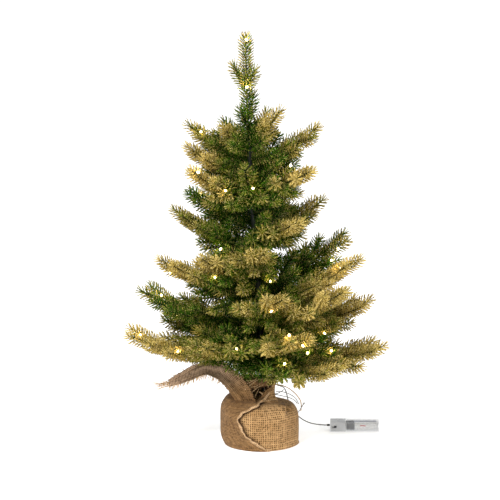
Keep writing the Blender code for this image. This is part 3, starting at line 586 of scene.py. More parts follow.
def tape_finish():
    """Floral tape wound round the pole: a slanting overlap line at each turn."""
    material, tree, shader = new_material("floral_tape")
    place = object_place(tree)
    wound = add_node(tree, "ShaderNodeTexWave", {"wave_type": "BANDS", "bands_direction": "Z",
                                                 "wave_profile": "SAW"},
                     {"Vector": place, "Scale": 28.0, "Distortion": 1.2, "Detail": 1.0})
    colour = ramp(tree, wound.outputs["Fac"], [(0.0, (0.006, 0.010, 0.006)), (0.5, (0.012, 0.018, 0.010)),
                                               (1.0, (0.022, 0.032, 0.018))])
    tree.links.new(colour, shader.inputs["Base Color"])
    add_bump(tree, shader, wound.outputs["Fac"], 0.0004)
    set_shader(shader, Roughness=0.55)
    return material


def clear_finish(bay_end):
    """The battery box's clear plastic, a little clouded, and frosted round the switch's bay."""
    material, tree, shader = new_material("clear_box_plastic")
    place = object_place(tree)
    cloud = noise(tree, place, 60.0)
    body = ramp(tree, cloud, [(0.3, (0.52, 0.53, 0.54)), (0.7, (0.66, 0.67, 0.68))])
    tree.links.new(body, shader.inputs["Base Color"])
    grain = noise(tree, place, 700.0, 4.0)
    rough = add_node(tree, "ShaderNodeMapRange", inputs={0: grain, 3: 0.10, 4: 0.24}).outputs[0]
    tree.links.new(rough, shader.inputs["Roughness"])
    parts = add_node(tree, "ShaderNodeSeparateXYZ", inputs={0: place})
    frosted = add_node(tree, "ShaderNodeMapRange", inputs={0: parts.outputs[0], 1: bay_end - 0.0004,
                                                           2: bay_end, 3: 0.75, 4: 0.16}).outputs[0]
    tree.links.new(frosted, shader.inputs["Alpha"])
    set_shader(shader, IOR=1.46)
    return material


def cell_finish(name, low_x, wrap, dark_share, band=None):
    """A cell's printed sleeve along X: a dark end, then the wrap's colour, with one plain band."""
    material, tree, shader = new_material(name)
    place = object_place(tree)
    parts = add_node(tree, "ShaderNodeSeparateXYZ", inputs={0: place})
    along = add_node(tree, "ShaderNodeMapRange", inputs={0: parts.outputs[0], 1: low_x,
                                                        2: low_x + CELL_LENGTH * MM}).outputs[0]
    made = ramp(tree, along, [(0.0, (0.55, 0.55, 0.56)), (0.03, (0.012, 0.013, 0.02)),
                              (dark_share, (0.014, 0.015, 0.024)), (dark_share + 0.02, wrap),
                              (0.97, wrap), (1.0, (0.6, 0.6, 0.6))])
    if band:
        low_share, high_share, low_z, high_z, colour = band
        inside = math_node(tree, "MULTIPLY", math_node(tree, "GREATER_THAN", along, low_share),
                           math_node(tree, "LESS_THAN", along, high_share))
        inside = math_node(tree, "MULTIPLY", inside,
                           math_node(tree, "GREATER_THAN", parts.outputs[2], low_z * MM))
        inside = math_node(tree, "MULTIPLY", inside,
                           math_node(tree, "LESS_THAN", parts.outputs[2], high_z * MM))
        made = mix_colour(tree, inside, made, colour)
    speckle = noise(tree, place, 500.0)
    aged = mix_colour(tree, 0.25, made, ramp(tree, speckle, [(0.3, (0.6, 0.6, 0.6)), (0.7, (1, 1, 1))]),
                      "MULTIPLY")
    tree.links.new(aged, shader.inputs["Base Color"])
    set_shader(shader, Roughness=0.3, Metallic=0.1)
    return material


def bulb_finish():
    """A lit warm-white bulb, its colour a little mottled."""
    material, tree, shader = new_material("lit_bulb")
    place = object_place(tree)
    grain = noise(tree, place, 300.0)
    colour = ramp(tree, grain, [(0.3, (1.0, 0.76, 0.36)), (0.7, (1.0, 0.86, 0.52))])
    tree.links.new(colour, shader.inputs["Base Color"])
    tree.links.new(colour, shader.inputs["Emission Color"])
    set_shader(shader, Emission_Strength=9.0, Roughness=0.2)
    return material


# Camera

def make_camera():
    data = bpy.data.cameras.new("camera")
    data.lens = CAMERA_LENS
    data.sensor_width = CAMERA_SENSOR
    data.clip_end = 60.0
    camera = new_object("camera", data)
    tilt = math.radians(CAMERA_ELEVATION_DEG)
    back = Vector((0.0, -math.cos(tilt), math.sin(tilt)))
    camera.location = mm(CAMERA_TARGET) + back * CAMERA_DISTANCE * MM
    camera.rotation_euler = (math.pi / 2 - tilt, 0.0, 0.0)
    bpy.context.scene.camera = camera


# Cords

def cord_curve(name, route, radius, material, step):
    """A free cord: one open spline through the route's smoothed points."""
    points = smooth_route(route, step)
    data = bpy.data.curves.new(name, "CURVE")
    data.dimensions = "3D"
    data.bevel_depth = radius * MM
    data.bevel_resolution = 3
    data.use_fill_caps = True
    spline = data.splines.new("POLY")
    spline.points.add(len(points) - 1)
    for point, place in zip(spline.points, points):
        point.co = (*mm(place), 1.0)
    spline.use_smooth = True
    length = sum((b - a).length for a, b in zip(points, points[1:]))
    return new_object(name, data, material), length * MM


def make_cords():
    """The lead to the battery box, and the loose yarn beside the neck."""
    lead, length = cord_curve("lead_wire", LEAD_ROUTE, LEAD_RADIUS, LEAD_FINISH, 2.4)
    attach(lead, "base")
    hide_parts("battery_lead")
    strand, length = cord_curve("jute_yarn", STRAND_ROUTE, STRAND_RADIUS, YARN_FINISH, 3.5)
    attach(strand, "base")
    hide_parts("jute_strand")


# Needle shoots

def pole_at(height):
    """The point of the leaning pole's axis at a height."""
    lean = math.tan(math.radians(POLE_LEAN_DEG))
    return Vector((POLE_X_AT_FLOOR - lean * height, 0.0, height))


def branch_shoots(branch):
    """The stem's points and each side shoot's points for a BRANCHES row."""
    root_z, azimuth, reach, tip_z, side_shoots, _ = branch
    foot = pole_at(root_z)
    outward = Vector((math.cos(math.radians(azimuth)), math.sin(math.radians(azimuth)), 0))
    sideways = Vector((-outward.y, outward.x, 0))
    root = SLEEVE_RADIUS + ROOT_CLEARANCE

    def stem_at(share):
        along = root + (reach - root) * share
        rise = (tip_z - root_z) * share - STEM_SAG * reach * math.sin(math.pi * share)
        return foot + outward * along + Vector((0, 0, rise))

    stem = [stem_at(share) for share in (0.0, 0.08, 0.35, 0.7, 1.0)]
    shoots = []
    for index in range(side_shoots):
        share = FIRST_SIDE_SHOOT
        if side_shoots > 1:
            share += (LAST_SIDE_SHOOT - FIRST_SIDE_SHOOT) * index / (side_shoots - 1)
        side = 1 if index % 2 else -1
        length = reach * (SIDE_SHOOT_LENGTH - SIDE_SHOOT_SHRINK * share)
        start = stem_at(share)
        ahead = (stem_at(share + 0.1) - start).normalized()
        turn = math.radians(SIDE_SHOOT_TURN_DEG)
        heading = ahead * math.cos(turn) + sideways * side * math.sin(turn)
        heading.z += SIDE_SHOOT_LIFT * (-1 if index % 3 == 2 else 1)
        bend = ahead * SIDE_SHOOT_BEND * length
        shoots.append([start, start + heading * length * 0.5, start + heading * length + bend])
    return stem, shoots


def partner_shoots(stem, shoots):
    """A shorter shoot across the stem from each side shoot, turned up or down in turn."""
    ahead = (stem[-1] - stem[0]).normalized()
    made = []
    for index, shoot in enumerate(shoots[:PARTNERS]):
        down = index % 2 and stem[0].z > LOW_BRANCH_Z
        dip = Vector((0, 0, PARTNER_LIFT * (shoot[-1] - shoot[0]).length * (-1 if down else 1)))
        route = []
        for step, place in enumerate(shoot):
            out = place - shoot[0]
            across = out - ahead * out.dot(ahead)
            route.append(shoot[0] + (out - across * 2) * PARTNER_LENGTH + dip * step / 2)
        made.append(route)
    return made


def pole_shoots():
    """Short shoots on the pole itself, all round but for a gap at the front where the pole shows."""
    choice = random.Random(5)
    made = []
    for index in range(POLE_SHOOTS):
        height = POLE_SHOOTS_LOW + (POLE_SHOOTS_HIGH - POLE_SHOOTS_LOW) * index / (POLE_SHOOTS - 1)
        turn = GOLDEN_ANGLE * index
        front = (math.degrees(turn) + 90.0 + 180.0) % 360.0 - 180.0
        if abs(front) < POLE_SHOOT_GAP_DEG:
            turn += math.radians(2 * POLE_SHOOT_GAP_DEG)
        foot = pole_at(height) + Vector((math.cos(turn), math.sin(turn), 0)) * SLEEVE_RADIUS
        heading = Vector((math.cos(turn), math.sin(turn), POLE_SHOOT_RISE + choice.uniform(-0.2, 0.2)))
        length = POLE_SHOOT_LENGTH * choice.uniform(0.8, 1.1)
        middle = foot + heading.normalized() * length * 0.5 + Vector((0, 0, -2))
        made.append([foot, middle, foot + heading.normalized() * length])
    return made


def fill_shoots(branch, choice):
    """Short shoots all round the inner part of a branch's stem."""
    reach = branch[2]
    stem = smooth_route(branch_shoots(branch)[0], ROUTE_STEP)
    turn = math.radians(FILL_TURN_DEG)
    made = []
    for index in range(FILL_SHOOTS):
        share = FILL_FIRST + FILL_RUN * index / FILL_SHOOTS
        place = round(share * (len(stem) - 2))
        start = stem[place]
        ahead = (stem[place + 1] - start).normalized()
        sideways = ahead.cross(Vector((0, 0, 1))).normalized()
        roll = GOLDEN_ANGLE * index + choice.uniform(-0.4, 0.4)
        out = sideways * math.cos(roll) + ahead.cross(sideways) * math.sin(roll)
        if stem[0].z < LOW_BRANCH_Z:
            out.z = abs(out.z)
        heading = ahead * math.cos(turn) + out * math.sin(turn)
        length = FILL_LEAST + reach * (FILL_LENGTH - FILL_SHRINK * share / FILL_RUN)
        made.append([start, start + heading * length * 0.5, start + (heading + ahead * 0.25) * length])
    return made


def trimmed(points, amount):
    """The route cut short by an amount at its far end."""
    route = list(points)
    left = amount
    while len(route) > 2 and (route[-1] - route[-2]).length <= left:
        left -= (route[-1] - route[-2]).length
        route.pop()
    back = route[-2] - route[-1]
    route[-1] = route[-1] + back.normalized() * min(left, back.length * 0.9)
    return route


def skeleton(name, shoots, root, reach, gold):
    """A wire mesh of the shoots, with the values that the needles follow at each point."""
    choice = random.Random(name)
    points, edges, tips, golds, radii = [], [], [], [], []
    for index, shoot in enumerate(shoots):
        own = choice.uniform(-SHOOT_TONE_SPREAD, SHOOT_TONE_SPREAD) if index else 0.0
        route = trimmed(smooth_route(shoot, ROUTE_STEP), SHOOT_END_TRIM)
        to_tip = [0.0]
        for first, second in zip(reversed(route[:-1]), reversed(route[1:])):
            to_tip.insert(0, to_tip[0] + (first - second).length)
        start = len(points)
        edges += [(start + step, start + step + 1) for step in range(len(route) - 1)]
        for place, left in zip(route, to_tip):
            outside = min(1.0, (place - root).length / reach)
            bloom = max(0.0, min(1.0, (outside - BLOOM_START) / BLOOM_RUN))
            points.append(mm(place))
            tips.append(left)
            golds.append(GREEN_TONE + own + 0.80 * gold * bloom)
            radii.append(STEM_WIRE_RADIUS if index == 0 else SHOOT_WIRE_RADIUS)
    mesh = bpy.data.meshes.new(name)
    mesh.from_pydata(points, edges, [])
    for key, values in (("to_tip", tips), ("gold", golds), ("radius", radii)):
        mesh.attributes.new(key, "FLOAT", "POINT").data.foreach_set("value", values)
    return new_object(name, mesh)


def needle_ring():
    """A ring of closed needles about Z, leaning along it, with values for the finish."""
    choice = random.Random(3)
    stages = ((0.0, 0.8), (0.80, 1.0))
    verts, faces, along, across, shade = [], [], [], [], []
    lean = math.radians(NEEDLE_SPREAD_DEG)
    for number in range(NEEDLES_IN_RING):
        first = len(verts)
        length = NEEDLE_LENGTH * choice.uniform(0.92, 1.05)
        turn = Matrix.Rotation(math.tau * number / NEEDLES_IN_RING + choice.uniform(-0.04, 0.04), 4, "Z")
        turn @= Matrix.Rotation(-lean + choice.uniform(-0.04, 0.04), 4, "X")
        for share, width in stages + ((1.0, 0.0),):
            bend = -NEEDLE_BEND * length * share ** 2
            half = NEEDLE_WIDTH * width / 2
            corners = ((-half, 0.0, -1.0), (half, 0.0, 1.0), (0.0, NEEDLE_THICKNESS * width, 0.0))
            for x, y, side in corners if width else corners[:1]:
                verts.append(turn @ Vector((x, y + bend, length * share)))
                along.append(share)
                across.append(side)
        shade += [choice.uniform(-0.12, 0.12)] * (len(verts) - first)
        faces.append((first + 2, first + 1, first))
        for side in range(3):
            following = (side + 1) % 3
            faces.append((first + side, first + following, first + 3 + following, first + 3 + side))
            faces.append((first + 3 + side, first + 3 + following, first + 6))
    ring = mesh_object("needle_ring", verts, faces, None, False)
    for key, values in (("along", along), ("across", across), ("shade", shade)):
        ring.data.attributes.new(key, "FLOAT", "POINT").data.foreach_set("value", values)
    return ring


def needle_tree():
    """Geometry nodes: rings of needles along every shoot wire, closing together at its tip."""
    tree = bpy.data.node_groups.new("needle_shoots", "GeometryNodeTree")
    interface = tree.interface
    interface.new_socket("Geometry", in_out="INPUT", socket_type="NodeSocketGeometry")
    for name, kind in (("Ring", "NodeSocketObject"), ("Finish", "NodeSocketMaterial"),
                       ("Pitch", "NodeSocketFloat"), ("Tip Run", "NodeSocketFloat"),
                       ("Narrowing", "NodeSocketFloat"), ("Stretch", "NodeSocketFloat"),
                       ("Seed", "NodeSocketInt")):
        interface.new_socket(name, in_out="INPUT", socket_type=kind)
    interface.new_socket("Geometry", in_out="OUTPUT", socket_type="NodeSocketGeometry")
    given = tree.nodes.new("NodeGroupInput").outputs

    def attribute(name):
        return add_node(tree, "GeometryNodeInputNamedAttribute", {"data_type": "FLOAT"},
                        {"Name": name}).outputs[0]

    def random_value(low, high, salt):
        seed = math_node(tree, "ADD", given["Seed"], salt)
        made = add_node(tree, "FunctionNodeRandomValue", {"data_type": "FLOAT"},
                        {2: low, 3: high, "Seed": seed})
        return made.outputs[1]

    def toward_tip(at_tip):
        return add_node(tree, "ShaderNodeMapRange", {"interpolation_type": "SMOOTHSTEP"},
                        {0: attribute("to_tip"), 1: 0.0, 2: given["Tip Run"], 3: at_tip, 4: 1.0}).outputs[0]

    curve = add_node(tree, "GeometryNodeMeshToCurve", inputs={0: given["Geometry"]}).outputs[0]
    dots = add_node(tree, "GeometryNodeCurveToPoints", {"mode": "LENGTH"},
                    {"Curve": curve, "Length": given["Pitch"]})
    tint = math_node(tree, "ADD", attribute("gold"), random_value(-0.14, 0.14, 1))
    tint = add_node(tree, "ShaderNodeClamp", inputs={0: tint}).outputs[0]
    stored = add_node(tree, "GeometryNodeStoreNamedAttribute", {"data_type": "FLOAT", "domain": "POINT"},
                      {"Geometry": dots.outputs["Points"], "Name": "tint", "Value": tint}).outputs[0]
    turn = add_node(tree, "FunctionNodeAxisAngleToRotation",
                    inputs={0: (0.0, 0.0, 1.0), 1: random_value(-0.16, 0.16, 2)}).outputs[0]
    rotation = add_node(tree, "FunctionNodeRotateRotation", {"rotation_space": "LOCAL"},
                        {0: dots.outputs["Rotation"], 1: turn}).outputs[0]
    size = random_value(0.93, 1.05, 4)
    wide = math_node(tree, "MULTIPLY", size, toward_tip(given["Narrowing"]))
    tall = math_node(tree, "MULTIPLY", size, toward_tip(given["Stretch"]))
    scale = add_node(tree, "ShaderNodeCombineXYZ", inputs={0: wide, 1: wide, 2: tall}).outputs[0]
    ring = add_node(tree, "GeometryNodeObjectInfo", inputs={0: given["Ring"]}).outputs["Geometry"]
    placed = add_node(tree, "GeometryNodeInstanceOnPoints", inputs={
        "Points": stored, "Instance": ring, "Rotation": rotation, "Scale": scale}).outputs[0]
    realized = add_node(tree, "GeometryNodeRealizeInstances", inputs={0: placed}).outputs[0]
    tint = math_node(tree, "ADD", attribute("tint"), attribute("shade"))
    tint = add_node(tree, "ShaderNodeClamp", inputs={0: tint}).outputs[0]
    side = math_node(tree, "MULTIPLY", attribute("across"), 0.0006)
    shade = math_node(tree, "ADD", math_node(tree, "MULTIPLY", tint, 0.9), 0.03)
    shade = math_node(tree, "ADD", shade, side)
    uv = add_node(tree, "ShaderNodeCombineXYZ", inputs={0: attribute("along"), 1: shade}).outputs[0]
    needles = add_node(tree, "GeometryNodeStoreNamedAttribute", {"data_type": "FLOAT2", "domain": "CORNER"},
                       {"Geometry": realized, "Name": "OFBake", "Value": uv}).outputs[0]
    circle = add_node(tree, "GeometryNodeCurvePrimitiveCircle", {"mode": "RADIUS"},
                      {"Resolution": 6, "Radius": MM}).outputs[0]
    wires = add_node(tree, "GeometryNodeCurveToMesh", inputs={"Curve": curve, "Profile Curve": circle,
                                                             "Fill Caps": True})
    if "Scale" in wires.inputs:
        tree.links.new(attribute("radius"), wires.inputs["Scale"])
    wires = add_node(tree, "GeometryNodeStoreNamedAttribute", {"data_type": "FLOAT2", "domain": "CORNER"},
                     {"Geometry": wires.outputs[0], "Name": "OFBake", "Value": (0.5, 0.985, 0.0)}).outputs[0]
    both = tree.nodes.new("GeometryNodeJoinGeometry")
    tree.links.new(wires, both.inputs[0])
    tree.links.new(needles, both.inputs[0])
    finished = add_node(tree, "GeometryNodeSetMaterial", inputs={"Geometry": both.outputs[0],
                                                                "Material": given["Finish"]}).outputs[0]
    tree.links.new(finished, tree.nodes.new("NodeGroupOutput").inputs[0])
    return tree


def needled(name, wires, tree, ring, seed):
    """Turns a skeleton into a plain mesh of needles."""
    values = {"Ring": ring, "Finish": NEEDLE_FINISH, "Pitch": NEEDLE_RING_PITCH * MM, "Tip Run": TIP_RUN,
              "Narrowing": TIP_NARROWING, "Stretch": TIP_STRETCH, "Seed": seed}
    modifier = wires.modifiers.new("needles", "NODES")
    modifier.node_group = tree
    for item in tree.interface.items_tree:
        if item.in_out == "INPUT" and item.name in values:
            modifier[item.identifier] = values[item.name]
    apply_modifiers(wires)
    wires.name = name
    wires.data.name = name
    keep = {"OFBake", "position", ".edge_verts", ".corner_vert", ".corner_edge", "material_index",
            "sharp_face"}
    for key in [a.name for a in wires.data.attributes if a.name not in keep]:
        layer = wires.data.attributes.get(key)
        if layer and not layer.is_required and not key.startswith("."):
            wires.data.attributes.remove(layer)
    return wires


def make_foliage():
    """Every branch and the leader, each a piece on its own CAD body."""
    ring = needle_ring()
    tree = needle_tree()
    for number, branch in enumerate(BRANCHES, start=1):
        stem, shoots = branch_shoots(branch)
        cad = f"branch_{number:02d}"
        shoots = [stem] + shoots + partner_shoots(stem, shoots) + fill_shoots(branch, random.Random(number))
        shoots += [[Vector(p) for p in route] for route in HANGING_SHOOTS.get(cad, [])]
        wires = skeleton(f"{cad}_wires", shoots, stem[0], branch[2], branch[5])
        piece = needled(f"{cad}_needles", wires, tree, ring, number)
        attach(piece, cad)
        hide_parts(cad)
    wires = skeleton("pole_wires", pole_shoots(), pole_at(POLE_TOP_Z / 2), POLE_TOP_Z, 0.2)
    piece = needled("pole_needles", wires, tree, ring, 100)
    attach(piece, "base")
    top = pole_at(POLE_TOP_Z)
    shoots = [[top + Vector(p) for p in route] for route in [LEADER_STEM] + LEADER_SHOOTS]
    wires = skeleton("leader_wires", shoots, shoots[0][0] - Vector((0, 0, 40)), 160.0, LEADER_GOLD)
    piece = needled("leader_needles", wires, tree, ring, 101)
    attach(piece, "base")
    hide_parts("leader_shoot")
    bpy.data.objects.remove(ring)


# Light string

def capsule(name, start, direction, radius, length, material, sides=10):
    """A rounded bulb shape from start along a direction."""
    shares = (0.0, 0.12, 0.35, 0.65, 0.86, 0.97, 1.0)
    swell = (0.45, 0.85, 1.0, 1.0, 0.80, 0.42, 0.12)
    heading = direction.normalized()
    points = [start + heading * length * share for share in shares]
    return swept(name, points, [radius * s for s in swell], material, sides)


def coiled_wire(name, route, phase):
    """The string's wire in a slow coil round a shoot."""
    points = smooth_route(route, 3.0)
    frames = frames_along(points)
    made = []
    travelled = 0.0
    for index, (point, (_, across, upright)) in enumerate(zip(points, frames)):
        if index:
            travelled += (point - points[index - 1]).length
        angle = phase + math.tau * travelled / STRING_COIL_PITCH
        made.append(point + (across * math.cos(angle) + upright * math.sin(angle)) * STRING_COIL_RADIUS)
    return swept(name, made, [STRING_RADIUS] * len(made), STRING_FINISH, 6)


def make_lights():
    """Bulbs with their sleeves, each with its run of wire, in one piece of each for each body."""
    wires, bulbs = {}, {}
    for number, branch in enumerate(BRANCHES, start=1):
        body = f"branch_{number:02d}"
        if any(bulb[0] == body for bulb in BULBS):
            stem, _ = branch_shoots(branch)
            wires[body] = [coiled_wire(f"{body}_wire", trimmed(smooth_route(stem, 6.0), 10.0), number)]
    top = pole_at(POLE_TOP_Z)
    leader = [top + Vector(p) for p in LEADER_STEM]
    trunk = [pole_at(86 + 22 * step) + Vector((-4.4, 3.6, 0)) for step in range(17)]
    wires["base"] = [coiled_wire("trunk_wire", trunk + leader[1:], 0.0)]
    for index, (body, x, y, z) in enumerate(BULBS):
        place = Vector((x, y, z))
        choice = random.Random(index)
        heading = Vector((choice.uniform(-0.6, 0.6), choice.uniform(-1.2, -0.5), choice.uniform(0.1, 0.8)))
        heading.normalize()
        base = place - heading * (BULB_LENGTH / 2)
        foot = base - heading * BULB_SLEEVE_LENGTH
        bulbs.setdefault(body, []).append(
            capsule(f"bulb_{index}", base, heading, BULB_RADIUS, BULB_LENGTH, BULB_FINISH))
        wires.setdefault(body, []).append(
            swept(f"sleeve_{index}", [foot, foot + heading * 0.6, base + heading * 0.4],
                  [BULB_SLEEVE_RADIUS * 0.6, BULB_SLEEVE_RADIUS, BULB_SLEEVE_RADIUS * 0.9],
                  STRING_FINISH, 8))
        lamp = bpy.data.lights.new(f"bulb_light_{index}", "POINT")
        lamp.energy = BULB_POWER
        lamp.color = (1.0, 0.74, 0.34)
        lamp.shadow_soft_size = BULB_RADIUS * 2.0 * MM
        holder = new_object(f"bulb_light_{index}", lamp)
        holder.location = mm(place + Vector((0.0, -3.0, 1.0)))
    for body, objects in wires.items():
        piece = joined(f"{body}_string_wire", objects)
        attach(piece, body)
        if body == "base":
            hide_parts("light_string")
    for body, objects in bulbs.items():
        piece = joined(f"{body}_bulbs", objects)
        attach(piece, body)


# Burlap

def bump_at(angle, centre, width):
    """1 at the centre angle, falling to 0 about two widths away, in degrees."""
    away = (angle - centre + 180.0) % 360.0 - 180.0
    return math.exp(-(away / width) ** 2)


def smooth_step(value, low, high):
    share = max(0.0, min(1.0, (value - low) / (high - low)))
    return share * share * (3 - 2 * share)


def between(table, key):
    """A value from (key, value) rows, smoothly between them."""
    if key <= table[0][0]:
        return table[0][1]
    for (low, first), (high, second) in zip(table, table[1:]):
        if key <= high:
            return first + (second - first) * smooth_step(key, low, high)
    return table[-1][1]


RING_MEMORY = {}


def rings_at(angle):
    """The bag's (radius, height, shift) at each ring, for one angle in degrees."""
    key = round(angle, 3)
    if key not in RING_MEMORY:
        made = []
        for radius, height, shift, changes in BAG_RINGS:
            for centre, width, more_radius, more_height in changes:
                share = bump_at(angle, centre, width)
                radius += more_radius * share
                height += more_height * share
            made.append(Vector((radius, height, NECK_SHIFT_X * shift)))
        RING_MEMORY[key] = [made[0]] + made + [made[-1]]
    return RING_MEMORY[key]


def gathers(angle, t):
    """How far the cloth stands out in folds at an angle and ring."""
    turn = math.radians(angle)
    neck = smooth_step(t, 6.8, 10.5)
    waves = 1.0 * math.sin(7 * turn + 0.6) + 0.7 * math.sin(11 * turn + 2.1) + 0.5 * math.sin(17 * turn + 4.0)
    belly = 0.45 * math.sin(3 * turn + 0.12 * t) + 0.25 * math.sin(8 * turn - 0.5 * t)
    window = smooth_step(t, 5.8, 7.6) * (1.0 - smooth_step(t, 10.4, 12.0))
    centre = RIDGE_LOW_DEG + (RIDGE_HIGH_DEG - RIDGE_LOW_DEG) * smooth_step(t, 6.5, 10.5)
    ridge = RIDGE_HEIGHT * bump_at(angle, centre, 7.5) - RIDGE_HEIGHT * 1.2 * bump_at(angle, centre + 15, 8)
    return neck * waves + belly * smooth_step(t, 2.5, 4.5) * (1.0 - 0.6 * neck) + ridge * window


def bag_point(angle, t):
    """A point of the bag's own surface: an angle in degrees and a place among the rings."""
    rings = rings_at(angle)
    t = max(0.0, min(len(BAG_RINGS) - 1.0001, t))
    index = int(t)
    u = t - index
    a, b, c, d = rings[index:index + 4]
    radius, height, shift = 0.5 * (2 * b + (c - a) * u + (2 * a - 5 * b + 4 * c - d) * u ** 2
                                   + (3 * b - a - 3 * c + d) * u ** 3)
    radius += gathers(angle, t)
    turn = math.radians(angle)
    return Vector((shift + radius * math.cos(turn), radius * math.sin(turn), height))


def bag_surface(angle, t, lift):
    """A point lifted off the bag's surface, and never under the floor."""
    place = bag_point(angle, t)
    round_it = bag_point(angle + 0.8, t) - bag_point(angle - 0.8, t)
    up_it = bag_point(angle, t + 0.05) - bag_point(angle, t - 0.05)
    place += round_it.cross(up_it).normalized() * lift
    place.z = max(place.z, BAG_REST_Z)
    return place


def cloth_sheet(name, rows, material, closed, wall=BURLAP_WALL, shades=None):
    """Cloth through rows of points, with a wall and a UV map in metres along and across."""
    width = len(rows[0])
    verts = [place for row in rows for place in row]
    faces, uvs = [], []
    spans = [0.0]
    for row, following in zip(rows, rows[1:]):
        steps = [(b - a).length for a, b in zip(row, following)]
        spans.append(spans[-1] + sorted(steps)[len(steps) // 2])
    middle = rows[len(rows) // 2]
    travelled = [0.0]
    for a, b in zip(middle, middle[1:] + middle[:1]):
        travelled.append(travelled[-1] + (b - a).length)
    for line in range(len(rows) - 1):
        for step in range(width if closed else width - 1):
            following = (step + 1) % width
            low, high = line * width, (line + 1) * width
            faces.append((low + step, low + following, high + following, high + step))
            left, right = travelled[step] * MM, travelled[step + 1] * MM
            bottom, top = spans[line] * MM, spans[line + 1] * MM
            uvs += [(left, bottom), (right, bottom), (right, top), (left, top)]
    made = mesh_object(name, verts, faces, material)
    layer = made.data.uv_layers.new(name="UVMap")
    for loop, uv in zip(layer.data, uvs):
        loop.uv = uv
    for key, shade in (shades or {}).items():
        values = [shade(line, step) for line in range(len(rows)) for step in range(width)]
        made.data.attributes.new(key, "FLOAT", "POINT").data.foreach_set("value", values)
    solid = made.modifiers.new("wall", "SOLIDIFY")
    solid.thickness = wall * MM
    solid.offset = -1.0
    apply_modifiers(made)
    return made


def hem_shade(angle, t):
    """Painted shade on the bag's cloth: a painted shadow along the hem, and painted shade in the pocket
    beside the ridge.
    """
    past = (angle - hem_angle(t) + 180.0) % 360.0 - 180.0
    reach = math.radians(max(0.0, past)) * bag_point(angle, t).xy.length
    hem_shadow = math.exp(-(reach / SHADE_REACH) ** 2) * smooth_step(t, 2.6, 4.0)
    pocket_shade = bump_at(angle, POCKET_DEG, 7.0) * smooth_step(t, 7.6, 8.4) * (1.0 - smooth_step(t, 8.8, 9.8))
    return min(0.85, hem_shadow + pocket_shade)


def make_bag_cloth():
    """The bag's own cloth, from the middle of its base to the lip of its mouth."""
    rows = []
    count = 96
    for line in range(count + 1):
        t = (len(BAG_RINGS) - 1.0) * line / count
        rows.append([bag_point(360.0 * step / 240, t) for step in range(240)])
    for row in rows:
        for place in row:
            place.z = max(place.z, BAG_REST_Z)

    # Painted shade value at each point of the cloth: painted shadow along the hem, painted shade in the
    # pocket
    def hollow(line, step):
        return hem_shade(360.0 * step / 240, (len(BAG_RINGS) - 1.0) * line / count)

    return cloth_sheet("burlap_bag_cloth", rows, COARSE_BURLAP, True, shades={"hollow": hollow})


def hem_angle(t):
    return between(HEM_LINE, t)


def make_wrap():
    """The outer layer, from its rolled hem at the front round the left to the back."""
    rows = []
    count, steps = 90, 150
    for line in range(count + 1):
        t = WRAP_START + (len(BAG_RINGS) - 1.0 - WRAP_START) * line / count
        start = hem_angle(t)
        row = []
        for step in range(steps + 1):
            share = step / steps
            angle = WRAP_END_DEG + (start - WRAP_END_DEG) * share
            lift = WRAP_LIFT + HEM_LIFT * math.exp(-(start - angle) / 9.0) * smooth_step(t, 2.6, 4.5)
            lift += 0.5 * math.sin(math.radians(angle) * 5 + t) * smooth_step(t, 3.0, 5.0)
            row.append(bag_surface(angle, t, lift))
        rows.append(row)
    wrap = cloth_sheet("burlap_wrap", rows, FINE_BURLAP, False)
    hem = []
    for line in range(120):
        t = WRAP_START + (len(BAG_RINGS) - 1.0 - WRAP_START) * line / 119
        lift = WRAP_LIFT + (HEM_LIFT - 0.6) * smooth_step(t, 2.6, 4.5) - HEM_RADIUS * 0.4
        place = bag_surface(hem_angle(t), t, lift)
        place.z = max(place.z, HEM_RADIUS + 0.2)
        hem.append(place)
    thickness = [HEM_RADIUS * (0.85 + 0.15 * math.sin(line * 0.37)) for line in range(120)]
    # The hem roll takes the lighter burlap, painted light on its lit edge.
    roll = swept("burlap_hem", hem, thickness,
                 HEM_BURLAP_PAINTED_LIGHT, 12, HEM_RADIUS * math.tau * MM)
    return wrap, roll


def make_mouth():
    """Crumpled cloth inside the mouth, closing in round the pole."""
    rows = []
    last = len(BAG_RINGS) - 1.0
    for line in range(25):
        share = line / 24
        row = []
        for step in range(120):
            angle = 360.0 * step / 120
            lip = bag_point(angle, last)
            floor = pole_at(MOUTH_FLOOR_Z) + Vector((math.cos(math.radians(angle)),
                                                     math.sin(math.radians(angle)), 0)) * 7.0
            place = lip.lerp(floor, share)
            place.z = lip.z + (MOUTH_FLOOR_Z - lip.z) * share ** 0.6 - 1.0
            turned = math.radians(angle)
            crumple = math.sin(5 * turned + 7 * share) + math.sin(9 * turned - 11 * share)
            inward = (pole_at(place.z) - place).normalized()
            place += inward * (1.4 + (1.3 + 1.5 * crumple) * math.sin(math.pi * share))
            row.append(place)
        rows.append(row)
    rows.reverse()
    return cloth_sheet("burlap_mouth", rows, FINE_BURLAP, True, 0.8)


